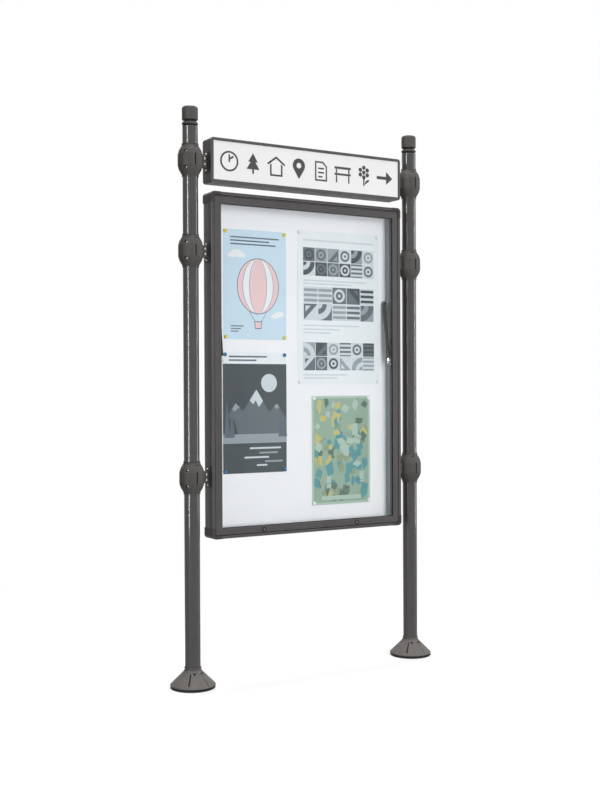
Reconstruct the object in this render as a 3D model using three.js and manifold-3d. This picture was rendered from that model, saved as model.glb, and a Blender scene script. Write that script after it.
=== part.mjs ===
// Lockable notice board on two round posts, with a glazed door hinged along its top.
// Millimetres, +Z up. The front faces -Y, and the origin is on the ground midway between the posts.
import * as THREE from 'three';
import { mergeVertices } from 'three/addons/utils/BufferGeometryUtils.js';
import Module from 'manifold-3d';

const wasm = await Module();
wasm.setup();

// Clearances and overruns
const FIT = {
  gap: 0.3,        // between neighbours that are cut to each other
  running: 0.35,   // between a turning piece and its bore
  seam: 0.4,       // between two half shells
  pivot: 0.6,      // open pivot at the foot of each gas strut, along its axis
  overrun: 5,      // how far a cutting tool runs past a face
};

const FACETS = { post: 20, collar: 20, foot: 28, finial: 20, small: 10, bolt: 8, round: 4 };

const POST = { diameter: 76, wall: 3, top: 2711 };

const BASE = { diameter: 190, thickness: 12, holeInset: 25, hole: 16, holes: 4 };

// Thicknesses of the foot cover, finial and collar are measured from the post, proud or deep of its skin.
const FOOT = {
  pastPlate: 16, rim: 16, height: 99, neckThickness: 5, neck: 14, wall: 4, slotWidth: 5, slotDepth: 1.6,
};

const FINIAL = {
  knobProud: 1, knobHeight: 66, knobRound: 9, crown: 2, grooveDepth: 15, grooveHeight: 7,
  beadProud: 1, beadHeight: 17, seatHeight: 5, spigotLength: 30,
};

const COLLAR = {
  height: 158, thickness: 22.5, band: 62, neck: 14, neckThickness: 5.5, neckLip: 2,
  screw: 13, screwDepth: 9, screwHeight: 38,
};
const COLLAR_ANGLES = { screw: 48 };

const LUG = { length: 24, cheek: 8, height: 58, bolt: 8, boltPitch: 26 };

const BRACKET = {
  tongue: 12, plateThickness: 4, plateWidth: 44, plateHeight: 98, screw: 8, screwInset: 12, lugClearance: 1,
};

// Levels of the collars, from the top of the post and from the top and bottom of the case.
const JOINTS = { belowPostTop: 163, belowCaseTop: 292, aboveCaseBottom: 302 };

const CASE = { width: 1125, height: 1690, depth: 90, belowPostTop: 307, cornerRadius: 20 };

const CASE_RAIL = { lip: 15, body: 40, stepDepth: 37, wall: 2.5 };

const CORNER = { leg: 52, proud: 1, spigot: 28 };

const BACK = { thickness: 1.5, setback: 5.5, grip: 10, field: 1 };

const DOOR = { inset: 1, depth: 30, rail: 33, sideGap: 3, hingeGap: 8, wall: 2.2 };

const GLASS = { thickness: 4, bead: 1.8, bite: 8 };

const HINGE = {
  pin: 3.2, knuckle: 7.2, axisBehindFront: 6.5, leafThickness: 1.6, leafDepth: 16, endInset: 22, knuckles: 5,
};

const STRUT = {
  drop: 503, reach: 20, stroke: 235, fittings: 85, tube: 19, rod: 8, eye: 18, eyeWidth: 13,
  eyeBolt: 8, wallOffset: 24, rodEye: 15, plate: 30, plateThickness: 3.5, studDiameter: 10, sleeveWall: 1.8,
  sleeveLength: 10,
};

const LOCK = {
  acrossShare: 0.2535, height: 32, barrel: 17, head: 22, headDepth: 1.8, cam: 3, camReach: 18, camWidth: 12,
};

const HEADER = { aboveCase: 43, height: 218, lip: 15, wall: 2.5, cornerRadius: 14 };

const SIGN = { thickness: 3, recess: 1.8, bite: 6 };

const X = new THREE.Vector3(1, 0, 0);
const Y = new THREE.Vector3(0, 1, 0);
const Z = new THREE.Vector3(0, 0, 1);
const negative = (v) => v.clone().negate();
const half = (size) => size / 2;

const finish = (colour, roughness, metalness) => ({ color: colour, roughness, metalness });
const PAINT = finish(0x585655, 0.42, 0.35);
const CAST_PAINT = finish(0x5f5b58, 0.55, 0.3);
const PLASTIC = finish(0x545250, 0.5, 0);
const BOARD_WHITE = finish(0xe4e6ea, 0.45, 0);
const SIGN_WHITE = finish(0xf0f0ef, 0.35, 0);
const ZINC = finish(0x9b9a96, 0.35, 0.8);
const STRUT_BLACK = finish(0x1f1f20, 0.35, 0.2);
const CHROME = finish(0xc9cacc, 0.12, 1);
const GLAZING = { color: 0xdde8e6, roughness: 0.05, metalness: 0, transparent: true, opacity: 0.3 };

const board = new THREE.Group();

// A closed solid from a closed three.js geometry, with its faces turned outwards.
function solid(geometry) {
  const bare = geometry.clone();
  bare.deleteAttribute('normal');
  bare.deleteAttribute('uv');
  const merged = mergeVertices(bare);
  const points = merged.attributes.position;
  const corners = [];
  let sixVolumes = 0;
  const [a, b, c] = [new THREE.Vector3(), new THREE.Vector3(), new THREE.Vector3()];
  for (let i = 0; i < merged.index.count; i += 3) {
    const [p, q, r] = [merged.index.getX(i), merged.index.getX(i + 1), merged.index.getX(i + 2)];
    if (p === q || q === r || r === p) {
      continue;
    }
    a.fromBufferAttribute(points, p);
    b.fromBufferAttribute(points, q);
    c.fromBufferAttribute(points, r);
    sixVolumes += a.dot(b.cross(c));
    corners.push(p, q, r);
  }
  if (sixVolumes < 0) {
    corners.reverse();
  }
  const vertProperties = new Float32Array(points.array);
  const triVerts = new Uint32Array(corners);
  return new wasm.Manifold(new wasm.Mesh({ numProp: 3, vertProperties, triVerts }));
}

// One named sub-part.
function add(parent, name, shape, look) {
  const mesh = shape.getMesh();
  const geometry = new THREE.BufferGeometry();
  geometry.setAttribute('position', new THREE.BufferAttribute(new Float32Array(mesh.vertProperties), 3));
  geometry.setIndex(new THREE.BufferAttribute(new Uint32Array(mesh.triVerts), 1));
  const flat = geometry.toNonIndexed();
  flat.computeVertexNormals();
  const part = new THREE.Mesh(flat, new THREE.MeshStandardMaterial(look));
  part.name = name;
  parent.add(part);
}

function box(x0, x1, y0, y1, z0, z1) {
  const block = new THREE.BoxGeometry(x1 - x0, y1 - y0, z1 - z0);
  block.translate(half(x0 + x1), half(y0 + y1), half(z0 + z1));
  return solid(block);
}

// A round bar from one point along a unit direction.
function bar(radius, start, direction, length, facets) {
  const round = new THREE.CylinderGeometry(radius, radius, length, facets);
  round.applyQuaternion(new THREE.Quaternion().setFromUnitVectors(Y, direction));
  const middle = direction.clone().multiplyScalar(half(length)).add(start);
  round.translate(middle.x, middle.y, middle.z);
  return solid(round);
}

// A solid of revolution about Z from a list of [radius, height].
function turned(outline, facets) {
  const lathe = new THREE.LatheGeometry(outline.map(([r, h]) => new THREE.Vector2(r, h)), facets);
  lathe.rotateX(half(Math.PI));
  return solid(lathe);
}

function ringTurned(outline, facets) {
  return turned([...outline, outline[0]], facets);
}

function shapeOf(outline, hole) {
  const shape = new THREE.Shape(outline.map(([u, v]) => new THREE.Vector2(u, v)));
  if (hole) {
    shape.holes.push(new THREE.Path(hole.map(([u, v]) => new THREE.Vector2(u, v))));
  }
  return shape;
}

// A section in (inward, depth) swept along a rail, measured inwards from the outer face.
function swept(section, hole, inward, along, start, length) {
  const bar3d = new THREE.ExtrudeGeometry(shapeOf(section, hole), { depth: length, bevelEnabled: false });
  bar3d.applyMatrix4(new THREE.Matrix4().makeBasis(inward, Y, along).setPosition(start));
  return solid(bar3d);
}

// An outline in (x, z) given a thickness from one depth to another.
function slab(shape, y0, y1) {
  const plate = new THREE.ExtrudeGeometry(shape, {
    depth: y1 - y0, bevelEnabled: false, curveSegments: FACETS.round,
  });
  plate.applyMatrix4(new THREE.Matrix4().makeBasis(X, Z, Y).setPosition(0, y0, 0));
  return solid(plate);
}

function roundedRectangle(x0, x1, z0, z1, radius) {
  const shape = new THREE.Shape();
  shape.moveTo(x0 + radius, z0);
  shape.lineTo(x1 - radius, z0);
  shape.absarc(x1 - radius, z0 + radius, radius, -half(Math.PI), 0);
  shape.lineTo(x1, z1 - radius);
  shape.absarc(x1 - radius, z1 - radius, radius, 0, half(Math.PI));
  shape.lineTo(x0 + radius, z1);
  shape.absarc(x0 + radius, z1 - radius, radius, half(Math.PI), Math.PI);
  shape.lineTo(x0, z0 + radius);
  shape.absarc(x0 + radius, z0 + radius, radius, Math.PI, Math.PI + half(Math.PI));
  return shape;
}

// Places that several pieces share
const postRadius = half(POST.diameter);
const front = -half(CASE.depth);
const rear = half(CASE.depth);
const caseSide = half(CASE.width);
const caseTop = POST.top - CASE.belowPostTop;
const caseBottom = caseTop - CASE.height;
const headerBottom = caseTop + HEADER.aboveCase;
const collarRadius = postRadius + COLLAR.thickness;
const postToCase = collarRadius + LUG.length + BRACKET.lugClearance + BRACKET.plateThickness;
const footRadius = half(BASE.diameter) + FOOT.pastPlate;
const footNeck = postRadius + FOOT.neckThickness;
const collarLevels = {
  header: POST.top - JOINTS.belowPostTop,
  upper: caseTop - JOINTS.belowCaseTop,
  lower: caseBottom + JOINTS.aboveCaseBottom,
};
const stepFace = front + CASE_RAIL.stepDepth;
const innerWall = caseSide - CASE_RAIL.body;
const backFront = rear - BACK.setback - BACK.thickness;

const doorFront = front + DOOR.inset;
const doorBack = doorFront + DOOR.depth;
const doorSide = caseSide - CASE_RAIL.lip - DOOR.sideGap;
const doorBottom = caseBottom + CASE_RAIL.lip + DOOR.sideGap;
const doorTop = caseTop - CASE_RAIL.lip - DOOR.hingeGap;
const glassEdge = doorSide - DOOR.rail;

// One post: a hollow tube welded to its anchor plate, with its foot cover, finial, collars and brackets.
// In this group the board lies towards +X.
function post(side) {
  const group = new THREE.Group();
  const word = side < 0 ? 'left' : 'right';
  add(group, `post_${word}`, postTube(), PAINT);
  add(group, `finial_${word}`, finial(), CAST_PAINT);
  const foot = footCover();
  for (const [place, towards] of [['inner', 1], ['outer', -1]]) {
    const shell = halfShell(foot, towards, footRadius, 0, FOOT.height);
    add(group, `foot_cover_${word}_${place}`, shell, CAST_PAINT);
  }
  for (const [place, height] of Object.entries(collarLevels)) {
    const level = new THREE.Group();
    level.position.z = height;
    const [low, high] = [-half(COLLAR.height), half(COLLAR.height)];
    const collar = collarBody();
    const bare = halfShell(collar, 1, collarRadius, low, high);
    const inner = bare.add(lug()).subtract(postBore(low, high));
    const outer = halfShell(collar, -1, collarRadius, low, high);
    add(level, `collar_${word}_${place}_inner`, inner.subtract(lugBolts()), CAST_PAINT);
    add(level, `collar_${word}_${place}_outer`, outer, CAST_PAINT);
    add(level, `bracket_${word}_${place}`, bracket(), PAINT);
    group.add(level);
  }
  group.position.x = side * (caseSide + postToCase);
  group.rotation.z = side > 0 ? Math.PI : 0;
  board.add(group);
}

function postTube() {
  const bore = postRadius - POST.wall;
  const plateRadius = half(BASE.diameter);
  let tube = ringTurned([
    [0, 0], [plateRadius, 0], [plateRadius, BASE.thickness], [postRadius, BASE.thickness],
    [postRadius, POST.top], [bore, POST.top], [bore, BASE.thickness], [0, BASE.thickness],
  ], FACETS.post);
  for (let i = 0; i < BASE.holes; i += 1) {
    const angle = (2 * i + 1) * Math.PI / BASE.holes;
    const start = new THREE.Vector3(plateRadius - BASE.holeInset, 0, -FIT.overrun).applyAxisAngle(Z, angle);
    tube = tube.subtract(bar(half(BASE.hole), start, Z, BASE.thickness + 2 * FIT.overrun, FACETS.bolt));
  }
  return tube;
}

function finial() {
  const spigot = postRadius - POST.wall - FIT.gap;
  const knob = postRadius + FINIAL.knobProud;
  const groove = postRadius - FINIAL.grooveDepth;
  const bead = postRadius + FINIAL.beadProud;
  const seat = POST.top;
  const beadLow = seat + FINIAL.seatHeight;
  const beadHigh = beadLow + FINIAL.beadHeight;
  const knobLow = beadHigh + FINIAL.grooveHeight;
  const knobHigh = knobLow + FINIAL.knobHeight;
  const soft = FINIAL.knobRound;
  const bevel = half(FINIAL.beadHeight) / 2;
  const diagonalShare = 1 - Math.SQRT1_2;
  return turned([
    [0, seat - FINIAL.spigotLength], [spigot, seat - FINIAL.spigotLength], [spigot, seat],
    [postRadius, seat], [groove, beadLow], [bead - bevel, beadLow], [bead, beadLow + bevel],
    [bead, beadHigh - bevel], [bead - bevel, beadHigh], [groove, beadHigh], [groove, knobLow],
    [knob - soft, knobLow], [knob, knobLow + soft], [knob, knobHigh - soft],
    [knob - soft * diagonalShare, knobHigh - soft * diagonalShare], [knob - soft, knobHigh],
    [0, knobHigh + FINIAL.crown],
  ], FACETS.finial);
}

function postBore(low, high) {
  const start = new THREE.Vector3(0, 0, low - FIT.overrun);
  return bar(postRadius + FIT.gap, start, Z, high - low + 2 * FIT.overrun, FACETS.collar);
}

// The half of a turned shell on one side of the seam, which faces the front and the back.
function halfShell(shell, side, radius, low, high) {
  const near = half(FIT.seam);
  const far = radius + FIT.overrun;
  const [x0, x1] = side > 0 ? [near, far] : [-far, -near];
  return shell.intersect(box(x0, x1, -far, far, low - FIT.overrun, high + FIT.overrun));
}

function footCover() {
  const [rim, neck, bore] = [footRadius, footNeck, postRadius + FIT.gap];
  const neckLow = FOOT.height - FOOT.neck;
  const inside = rim - FOOT.wall;
  let cover = ringTurned([
    [inside, 0], [rim, 0], [rim, FOOT.rim], [neck + FOOT.wall, neckLow - FOOT.wall],
    [neck, neckLow + FOOT.wall], [neck, FOOT.height], [bore, FOOT.height], [bore, neckLow - FOOT.neck],
    [neck, neckLow - FOOT.neck - FOOT.wall], [inside, FOOT.rim - FOOT.wall],
  ], FACETS.foot);
  const coneHeight = neckLow - FOOT.rim;
  const slope = Math.atan2(coneHeight, rim - neck);
  for (const quarter of [1, 3, 5, 7]) {
    cover = cover.subtract(footSlot(quarter * Math.PI / 4, slope));
  }
  return cover;
}

// A shallow groove down the cone of the foot cover.
function footSlot(angle, slope) {
  const middle = half(footRadius + footNeck);
  const height = half(FOOT.rim + FOOT.height - FOOT.neck);
  const length = half(footRadius - footNeck) / Math.cos(slope);
  const groove = new THREE.BoxGeometry(length, FOOT.slotWidth, 2 * FOOT.slotDepth);
  groove.rotateY(slope);
  groove.translate(middle, 0, height);
  groove.rotateZ(angle);
  return solid(groove);
}

function collarBody() {
  const [r, neck] = [collarRadius, postRadius + COLLAR.neckThickness];
  const [top, band] = [half(COLLAR.height), half(COLLAR.band)];
  const shoulder = top - COLLAR.neck;
  const bore = postRadius + FIT.gap;
  const crownShare = 0.5;
  const middle = band + (shoulder - band) * crownShare;
  const crown = neck + COLLAR.neckLip + (r - neck - COLLAR.neckLip) * crownShare + COLLAR.neckLip;
  let body = ringTurned([
    [bore, -top], [neck, -top], [neck + COLLAR.neckLip, -shoulder], [crown, -middle], [r, -band], [r, band],
    [crown, middle], [neck + COLLAR.neckLip, shoulder], [neck, top], [bore, top],
  ], FACETS.collar);
  const lean = COLLAR_ANGLES.screw * Math.PI / 180;
  for (const [across, depthSide] of [[-1, -1], [-1, 1]]) {
    for (const level of [-1, 1]) {
      const outwards = new THREE.Vector3(across * Math.sin(lean), depthSide * Math.cos(lean), 0);
      const start = outwards.clone().multiplyScalar(crown - COLLAR.screwDepth);
      start.z = level * COLLAR.screwHeight;
      body = body.subtract(bar(half(COLLAR.screw), start, outwards, collarRadius, FACETS.bolt));
    }
  }
  return body;
}

// Two cheeks on the inner half, which hold the tongue of the bracket between them.
function lug() {
  const inner = half(BRACKET.tongue) + FIT.gap;
  const outer = inner + LUG.cheek;
  const root = postRadius + COLLAR.neckLip;
  const tip = collarRadius + LUG.length - FIT.gap;
  const [low, high] = [-half(LUG.height), half(LUG.height)];
  const frontCheek = box(root, tip, -outer, -inner, low, high);
  return frontCheek.add(box(root, tip, inner, outer, low, high));
}

function boltPair(radius, reach) {
  const pair = [-1, 1].map((level) => {
    const x = collarRadius + half(LUG.length);
    const start = new THREE.Vector3(x, -half(reach), level * half(LUG.boltPitch));
    return bar(radius, start, Y, reach, FACETS.bolt);
  });
  return pair[0].add(pair[1]);
}

function lugBolts() {
  return boltPair(half(LUG.bolt), 2 * collarRadius);
}

// The bracket is bolted between the cheeks and screwed to the side of the board.
function bracket() {
  const plateFace = postToCase;
  const plateBack = plateFace - BRACKET.plateThickness;
  const root = collarRadius + FIT.gap;
  const tongue = box(
    root, plateFace, -half(BRACKET.tongue), half(BRACKET.tongue), -half(LUG.height), half(LUG.height),
  );
  const plate = box(
    plateBack, plateFace, -half(BRACKET.plateWidth), half(BRACKET.plateWidth),
    -half(BRACKET.plateHeight), half(BRACKET.plateHeight),
  );
  let shape = tongue.add(plate).subtract(boltPair(half(LUG.bolt), 2 * collarRadius));
  for (const level of [-1, 1]) {
    const z = level * (half(BRACKET.plateHeight) - BRACKET.screwInset);
    const start = new THREE.Vector3(plateBack - FIT.overrun, 0, z);
    const length = BRACKET.plateThickness + 2 * FIT.overrun;
    shape = shape.subtract(bar(half(BRACKET.screw), start, X, length, FACETS.bolt));
  }
  return shape;
}

// The back panel, with its edge held in a groove all round the rails and corners.
function backPanel(clearance) {
  const edgeX = innerWall + BACK.grip + clearance;
  const inset = CASE_RAIL.body - BACK.grip - clearance;
  return box(
    -edgeX, edgeX, backFront - clearance, backFront + BACK.thickness + clearance,
    caseBottom + inset, caseTop - inset,
  );
}

// The sheet's field is pressed a little forwards of its edge, so that notices lie clear of the rails.
function pressedPanel() {
  const face = backFront - BACK.field;
  const raised = panelField(0, face, backFront);
  const behind = panelField(BACK.thickness, face + BACK.thickness, rear);
  return backPanel(0).add(raised).subtract(behind);
}

function panelField(inset, y0, y1) {
  const x = innerWall - FIT.gap - inset;
  const rim = CASE_RAIL.body + FIT.gap + inset;
  return box(-x, x, y0, y1, caseBottom + rim, caseTop - rim);
}

// The four rails of the case: a slim lip round the door, and a deep hollow step behind it.
function caseRails() {
  const [lip, body, wall] = [CASE_RAIL.lip, CASE_RAIL.body, CASE_RAIL.wall];
  const section = [[0, front], [lip, front], [lip, stepFace], [body, stepFace], [body, rear], [0, rear]];
  const grooveFloor = body - BACK.grip - FIT.gap - wall;
  const hollowRear = backFront - FIT.gap - wall;
  const hole = [
    [wall, front + wall], [lip - wall, front + wall], [lip - wall, stepFace + wall],
    [body - wall, stepFace + wall], [body - wall, hollowRear], [grooveFloor, hollowRear],
    [grooveFloor, rear - wall], [wall, rear - wall],
  ];
  const legGap = CORNER.leg + FIT.gap;
  const tall = CASE.height - 2 * legGap;
  const wide = CASE.width - 2 * legGap;
  const low = caseBottom + legGap;
  const start = legGap - caseSide;
  const groove = backPanel(FIT.gap);
  const left = swept(section, hole, X, Z, new THREE.Vector3(-caseSide, 0, low), tall);
  const right = swept(section, hole, negative(X), Z, new THREE.Vector3(caseSide, 0, low), tall);
  const top = swept(section, hole, negative(Z), X, new THREE.Vector3(start, 0, caseTop), wide);
  let bottom = swept(section, hole, Z, X, new THREE.Vector3(start, 0, caseBottom), wide);
  for (const x of lockPlaces()) {
    bottom = bottom.subtract(lockPocket(x));
  }
  add(board, 'case_rail_left', left.subtract(groove), PAINT);
  add(board, 'case_rail_right', right.subtract(groove), PAINT);
  add(board, 'case_rail_top', top.subtract(groove), PAINT);
  add(board, 'case_rail_bottom', bottom.subtract(groove), PAINT);
}

// Rounded corner pieces, a little proud of the rails, with a spigot into the hollow of each.
function caseCorners() {
  const [outY0, outY1] = [front - CORNER.proud, rear + CORNER.proud];
  const whole = roundedRectangle(
    -caseSide - CORNER.proud, caseSide + CORNER.proud,
    caseBottom - CORNER.proud, caseTop + CORNER.proud, CASE.cornerRadius,
  );
  const block = slab(whole, outY0, outY1);
  const reach = caseSide + FIT.overrun;
  const insideLip = box(
    CASE_RAIL.lip - caseSide, caseSide - CASE_RAIL.lip, outY0 - FIT.overrun, stepFace,
    caseBottom + CASE_RAIL.lip, caseTop - CASE_RAIL.lip,
  );
  const insideBody = box(
    -innerWall, innerWall, stepFace - FIT.overrun, outY1 + FIT.overrun,
    caseBottom + CASE_RAIL.body, caseTop - CASE_RAIL.body,
  );
  const ring = block.subtract(insideLip).subtract(insideBody).subtract(backPanel(FIT.gap));
  for (const [side, across] of [['left', -1], ['right', 1]]) {
    for (const [end, up] of [['bottom', -1], ['top', 1]]) {
      const [x0, x1] = [across * (caseSide - CORNER.leg), across * (reach + CORNER.proud)];
      const outerZ = up < 0 ? caseBottom : caseTop;
      const [z0, z1] = [outerZ - up * CORNER.leg, outerZ + up * (FIT.overrun + CORNER.proud)];
      const cut = box(
        Math.min(x0, x1), Math.max(x0, x1), outY0 - FIT.overrun, outY1 + FIT.overrun,
        Math.min(z0, z1), Math.max(z0, z1),
      );
      const piece = ring.intersect(cut).add(cornerSpigots(across, up, outerZ));
      add(board, `case_corner_${end}_${side}`, piece, PLASTIC);
    }
  }
}

function cornerSpigots(across, up, outerZ) {
  const wall = CASE_RAIL.wall + FIT.gap;
  const [u0, u1] = [wall, CASE_RAIL.body - wall];
  const [y0, y1] = [stepFace + wall, backFront - FIT.gap - wall];
  const [root, tip] = [CORNER.leg - FIT.overrun, CORNER.leg + CORNER.spigot];
  const xs = (a, b) => [across * (caseSide - a), across * (caseSide - b)].sort((p, q) => p - q);
  const zs = (a, b) => [outerZ - up * a, outerZ - up * b].sort((p, q) => p - q);
  const upright = box(...xs(u0, u1), y0, y1, ...zs(root, tip));
  return upright.add(box(...xs(root, tip), y0, y1, ...zs(u0, u1)));
}

function lockPlaces() {
  return [-CASE.width * (half(1) - LOCK.acrossShare), CASE.width * (half(1) - LOCK.acrossShare)];
}

// A slot for the barrel and a pocket for the turning cam in the bottom rail.
function lockPocket(x) {
  const z = caseBottom + LOCK.height;
  const slot = half(LOCK.barrel) + 4 * FIT.running;
  const floor = caseBottom + CASE_RAIL.body;
  const inside = stepFace + CASE_RAIL.wall;
  const camRoom = LOCK.camReach + 4 * FIT.running;
  const barrelWay = box(
    x - slot, x + slot, stepFace - FIT.overrun, inside + FIT.overrun, z - slot, floor + FIT.overrun,
  );
  const camWay = box(
    x - camRoom, x + camRoom, inside, inside + LOCK.cam + 4 * FIT.overrun,
    floor - 2 * CASE_RAIL.wall, floor + FIT.overrun,
  );
  return barrelWay.add(camWay);
}

// A header sign above the case, of rails and end pieces with a panel in the front and in the back.
function header() {
  const [lip, wall] = [HEADER.lip, HEADER.wall];
  const top = headerBottom + HEADER.height;
  const section = [[0, front], [lip, front], [lip, rear], [0, rear]];
  const deep = SIGN.recess + SIGN.thickness + 2 * FIT.gap + wall;
  const hole = [
    [wall, front + deep], [lip - wall, front + deep], [lip - wall, rear - deep], [wall, rear - deep],
  ];
  const wide = CASE.width - 2 * lip;
  const start = lip - caseSide;
  const grooves = signPanel(-1, FIT.gap).add(signPanel(1, FIT.gap));
  const upper = swept(section, hole, negative(Z), X, new THREE.Vector3(start, 0, top), wide);
  const lower = swept(section, hole, Z, X, new THREE.Vector3(start, 0, headerBottom), wide);
  add(board, 'header_rail_top', upper.subtract(grooves), PAINT);
  add(board, 'header_rail_bottom', lower.subtract(grooves), PAINT);
  const outline = roundedRectangle(-caseSide, caseSide, headerBottom, top, HEADER.cornerRadius);
  const block = slab(outline, front, rear);
  for (const [side, across] of [['left', -1], ['right', 1]]) {
    const [x0, x1] = [across * (caseSide - lip), across * (caseSide + FIT.overrun)];
    const cut = box(
      Math.min(x0, x1), Math.max(x0, x1), front - FIT.overrun, rear + FIT.overrun,
      headerBottom - FIT.overrun, top + FIT.overrun,
    );
    add(board, `header_end_${side}`, block.intersect(cut).subtract(grooves), PAINT);
  }
  add(board, 'header_panel_front', signPanel(-1, 0), SIGN_WHITE);
  add(board, 'header_panel_rear', signPanel(1, 0), SIGN_WHITE);
}

function signPanel(side, clearance) {
  const inset = HEADER.lip - SIGN.bite - clearance;
  const outer = side * (half(CASE.depth) - SIGN.recess + clearance);
  const inner = side * (half(CASE.depth) - SIGN.recess - SIGN.thickness - clearance);
  return box(
    inset - caseSide, caseSide - inset, Math.min(outer, inner), Math.max(outer, inner),
    headerBottom + inset, headerBottom + HEADER.height - inset,
  );
}

// The door: four mitred hollow rails that grip the glass in a groove.
function door() {
  const [rail, wall] = [DOOR.rail, DOOR.wall];
  const section = [[0, doorFront], [rail, doorFront], [rail, doorBack], [0, doorBack]];
  const grooveBack = doorFront + GLASS.bead + GLASS.thickness + 2 * FIT.gap;
  const hole = [
    [wall, doorFront + wall], [rail - GLASS.bite - FIT.gap - wall, doorFront + wall],
    [rail - GLASS.bite - FIT.gap - wall, grooveBack + wall], [rail - wall, grooveBack + wall],
    [rail - wall, doorBack - wall], [wall, doorBack - wall],
  ];
  const [wide, tall] = [2 * doorSide, doorTop - doorBottom];
  const groove = glass(FIT.gap);
  const lower = new THREE.Vector3(-doorSide, 0, doorBottom);
  const upper = new THREE.Vector3(-doorSide, 0, doorTop);
  const rightLow = new THREE.Vector3(doorSide, 0, doorBottom);
  const rails = {
    left: swept(section, hole, X, Z, lower, tall).intersect(mitre(-1, true)),
    right: swept(section, hole, negative(X), Z, rightLow, tall).intersect(mitre(1, true)),
    top: swept(section, hole, negative(Z), X, upper, wide).intersect(mitre(1, false)),
    bottom: swept(section, hole, Z, X, lower, wide).intersect(mitre(-1, false)),
  };
  for (const x of lockPlaces()) {
    const start = new THREE.Vector3(x, doorFront - FIT.overrun, caseBottom + LOCK.height);
    const bore = bar(half(LOCK.barrel) + FIT.running, start, Y, DOOR.depth + 2 * FIT.overrun, FACETS.post);
    rails.bottom = rails.bottom.subtract(bore);
  }
  for (const [place, shape] of Object.entries(rails)) {
    add(board, `door_rail_${place}`, shape.subtract(groove), PAINT);
  }
  add(board, 'door_glass', glass(0), GLAZING);
}

// The wedge between two mitres that one door rail fills.
function mitre(side, upright) {
  const [low, high, gap] = [doorBottom, doorTop, half(FIT.gap)];
  const reach = 2 * DOOR.rail;
  const outline = upright
    ? [
      [side * doorSide, low + gap], [side * doorSide, high - gap],
      [side * (doorSide - reach), high - reach - gap], [side * (doorSide - reach), low + reach + gap],
    ]
    : [
      [-doorSide + gap, side > 0 ? high : low], [doorSide - gap, side > 0 ? high : low],
      [doorSide - reach - gap, side > 0 ? high - reach : low + reach],
      [-doorSide + reach + gap, side > 0 ? high - reach : low + reach],
    ];
  return slab(shapeOf(outline), doorFront - FIT.overrun, doorBack + FIT.overrun);
}

function glass(clearance) {
  const edge = glassEdge + GLASS.bite + clearance;
  const inset = DOOR.rail - GLASS.bite - clearance;
  const face = doorFront + GLASS.bead + FIT.gap - clearance;
  const rearFace = doorFront + GLASS.bead + FIT.gap + GLASS.thickness + clearance;
  return box(-edge, edge, face, rearFace, doorBottom + inset, doorTop - inset);
}

const hingeY = front + HINGE.axisBehindFront;
const hingeZ = doorTop + half(DOOR.hingeGap);

// A long hinge in the gap above the door: the case leaf has the odd knuckles, the door leaf the even ones.
function hinge() {
  const inset = HINGE.endInset + DOOR.sideGap;
  const [x0, x1] = [-doorSide + inset, doorSide - inset];
  const step = (x1 - x0) / HINGE.knuckles;
  const bore = half(HINGE.pin) + FIT.running;
  const leafBack = hingeY + HINGE.leafDepth;
  const underLip = caseTop - CASE_RAIL.lip;
  const caseLeafLow = underLip - HINGE.leafThickness;
  let caseLeaf = box(x0, x1, hingeY, leafBack, caseLeafLow, underLip);
  let doorLeaf = box(x0, x1, hingeY, leafBack, doorTop, doorTop + HINGE.leafThickness);
  for (let i = 0; i < HINGE.knuckles; i += 1) {
    const start = new THREE.Vector3(x0 + i * step + FIT.gap, hingeY, hingeZ);
    const length = step - 2 * FIT.gap;
    const knuckle = bar(half(HINGE.knuckle), start, X, length, FACETS.small);
    const clear = start.clone().setX(start.x - FIT.gap - half(FIT.gap));
    const room = bar(half(HINGE.knuckle) + FIT.running, clear, X, step + FIT.gap, FACETS.small);
    if (i % 2 === 0) {
      caseLeaf = caseLeaf.add(knuckle);
      doorLeaf = doorLeaf.subtract(room);
    } else {
      doorLeaf = doorLeaf.add(knuckle);
      caseLeaf = caseLeaf.subtract(room);
    }
  }
  const through = new THREE.Vector3(x0 - FIT.overrun, hingeY, hingeZ);
  const hole = bar(bore, through, X, x1 - x0 + 2 * FIT.overrun, FACETS.small);
  add(board, 'hinge_case_leaf', caseLeaf.subtract(hole), ZINC);
  add(board, 'hinge_door_leaf', doorLeaf.subtract(hole), ZINC);
  const pinStart = new THREE.Vector3(x0, hingeY, hingeZ);
  add(board, 'hinge_pin', bar(half(HINGE.pin), pinStart, X, x1 - x0, FACETS.small), ZINC);
}

// Gas struts: the closed strut runs from a stud on the case wall down to a stud on the door.
const strutX = innerWall - STRUT.wallOffset;
const strutTopY = backFront - STRUT.eye - half(FIT.overrun);
const strutLength = STRUT.stroke + STRUT.fittings;
const strutTop = new THREE.Vector3(0, strutTopY, caseTop - STRUT.drop);
const strutFootY = doorBack - half(STRUT.reach);
const strutRun = new THREE.Vector3(
  0, strutFootY - strutTopY, -Math.sqrt(strutLength ** 2 - (strutFootY - strutTopY) ** 2),
);
const strutAlong = strutRun.clone().normalize();

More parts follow.
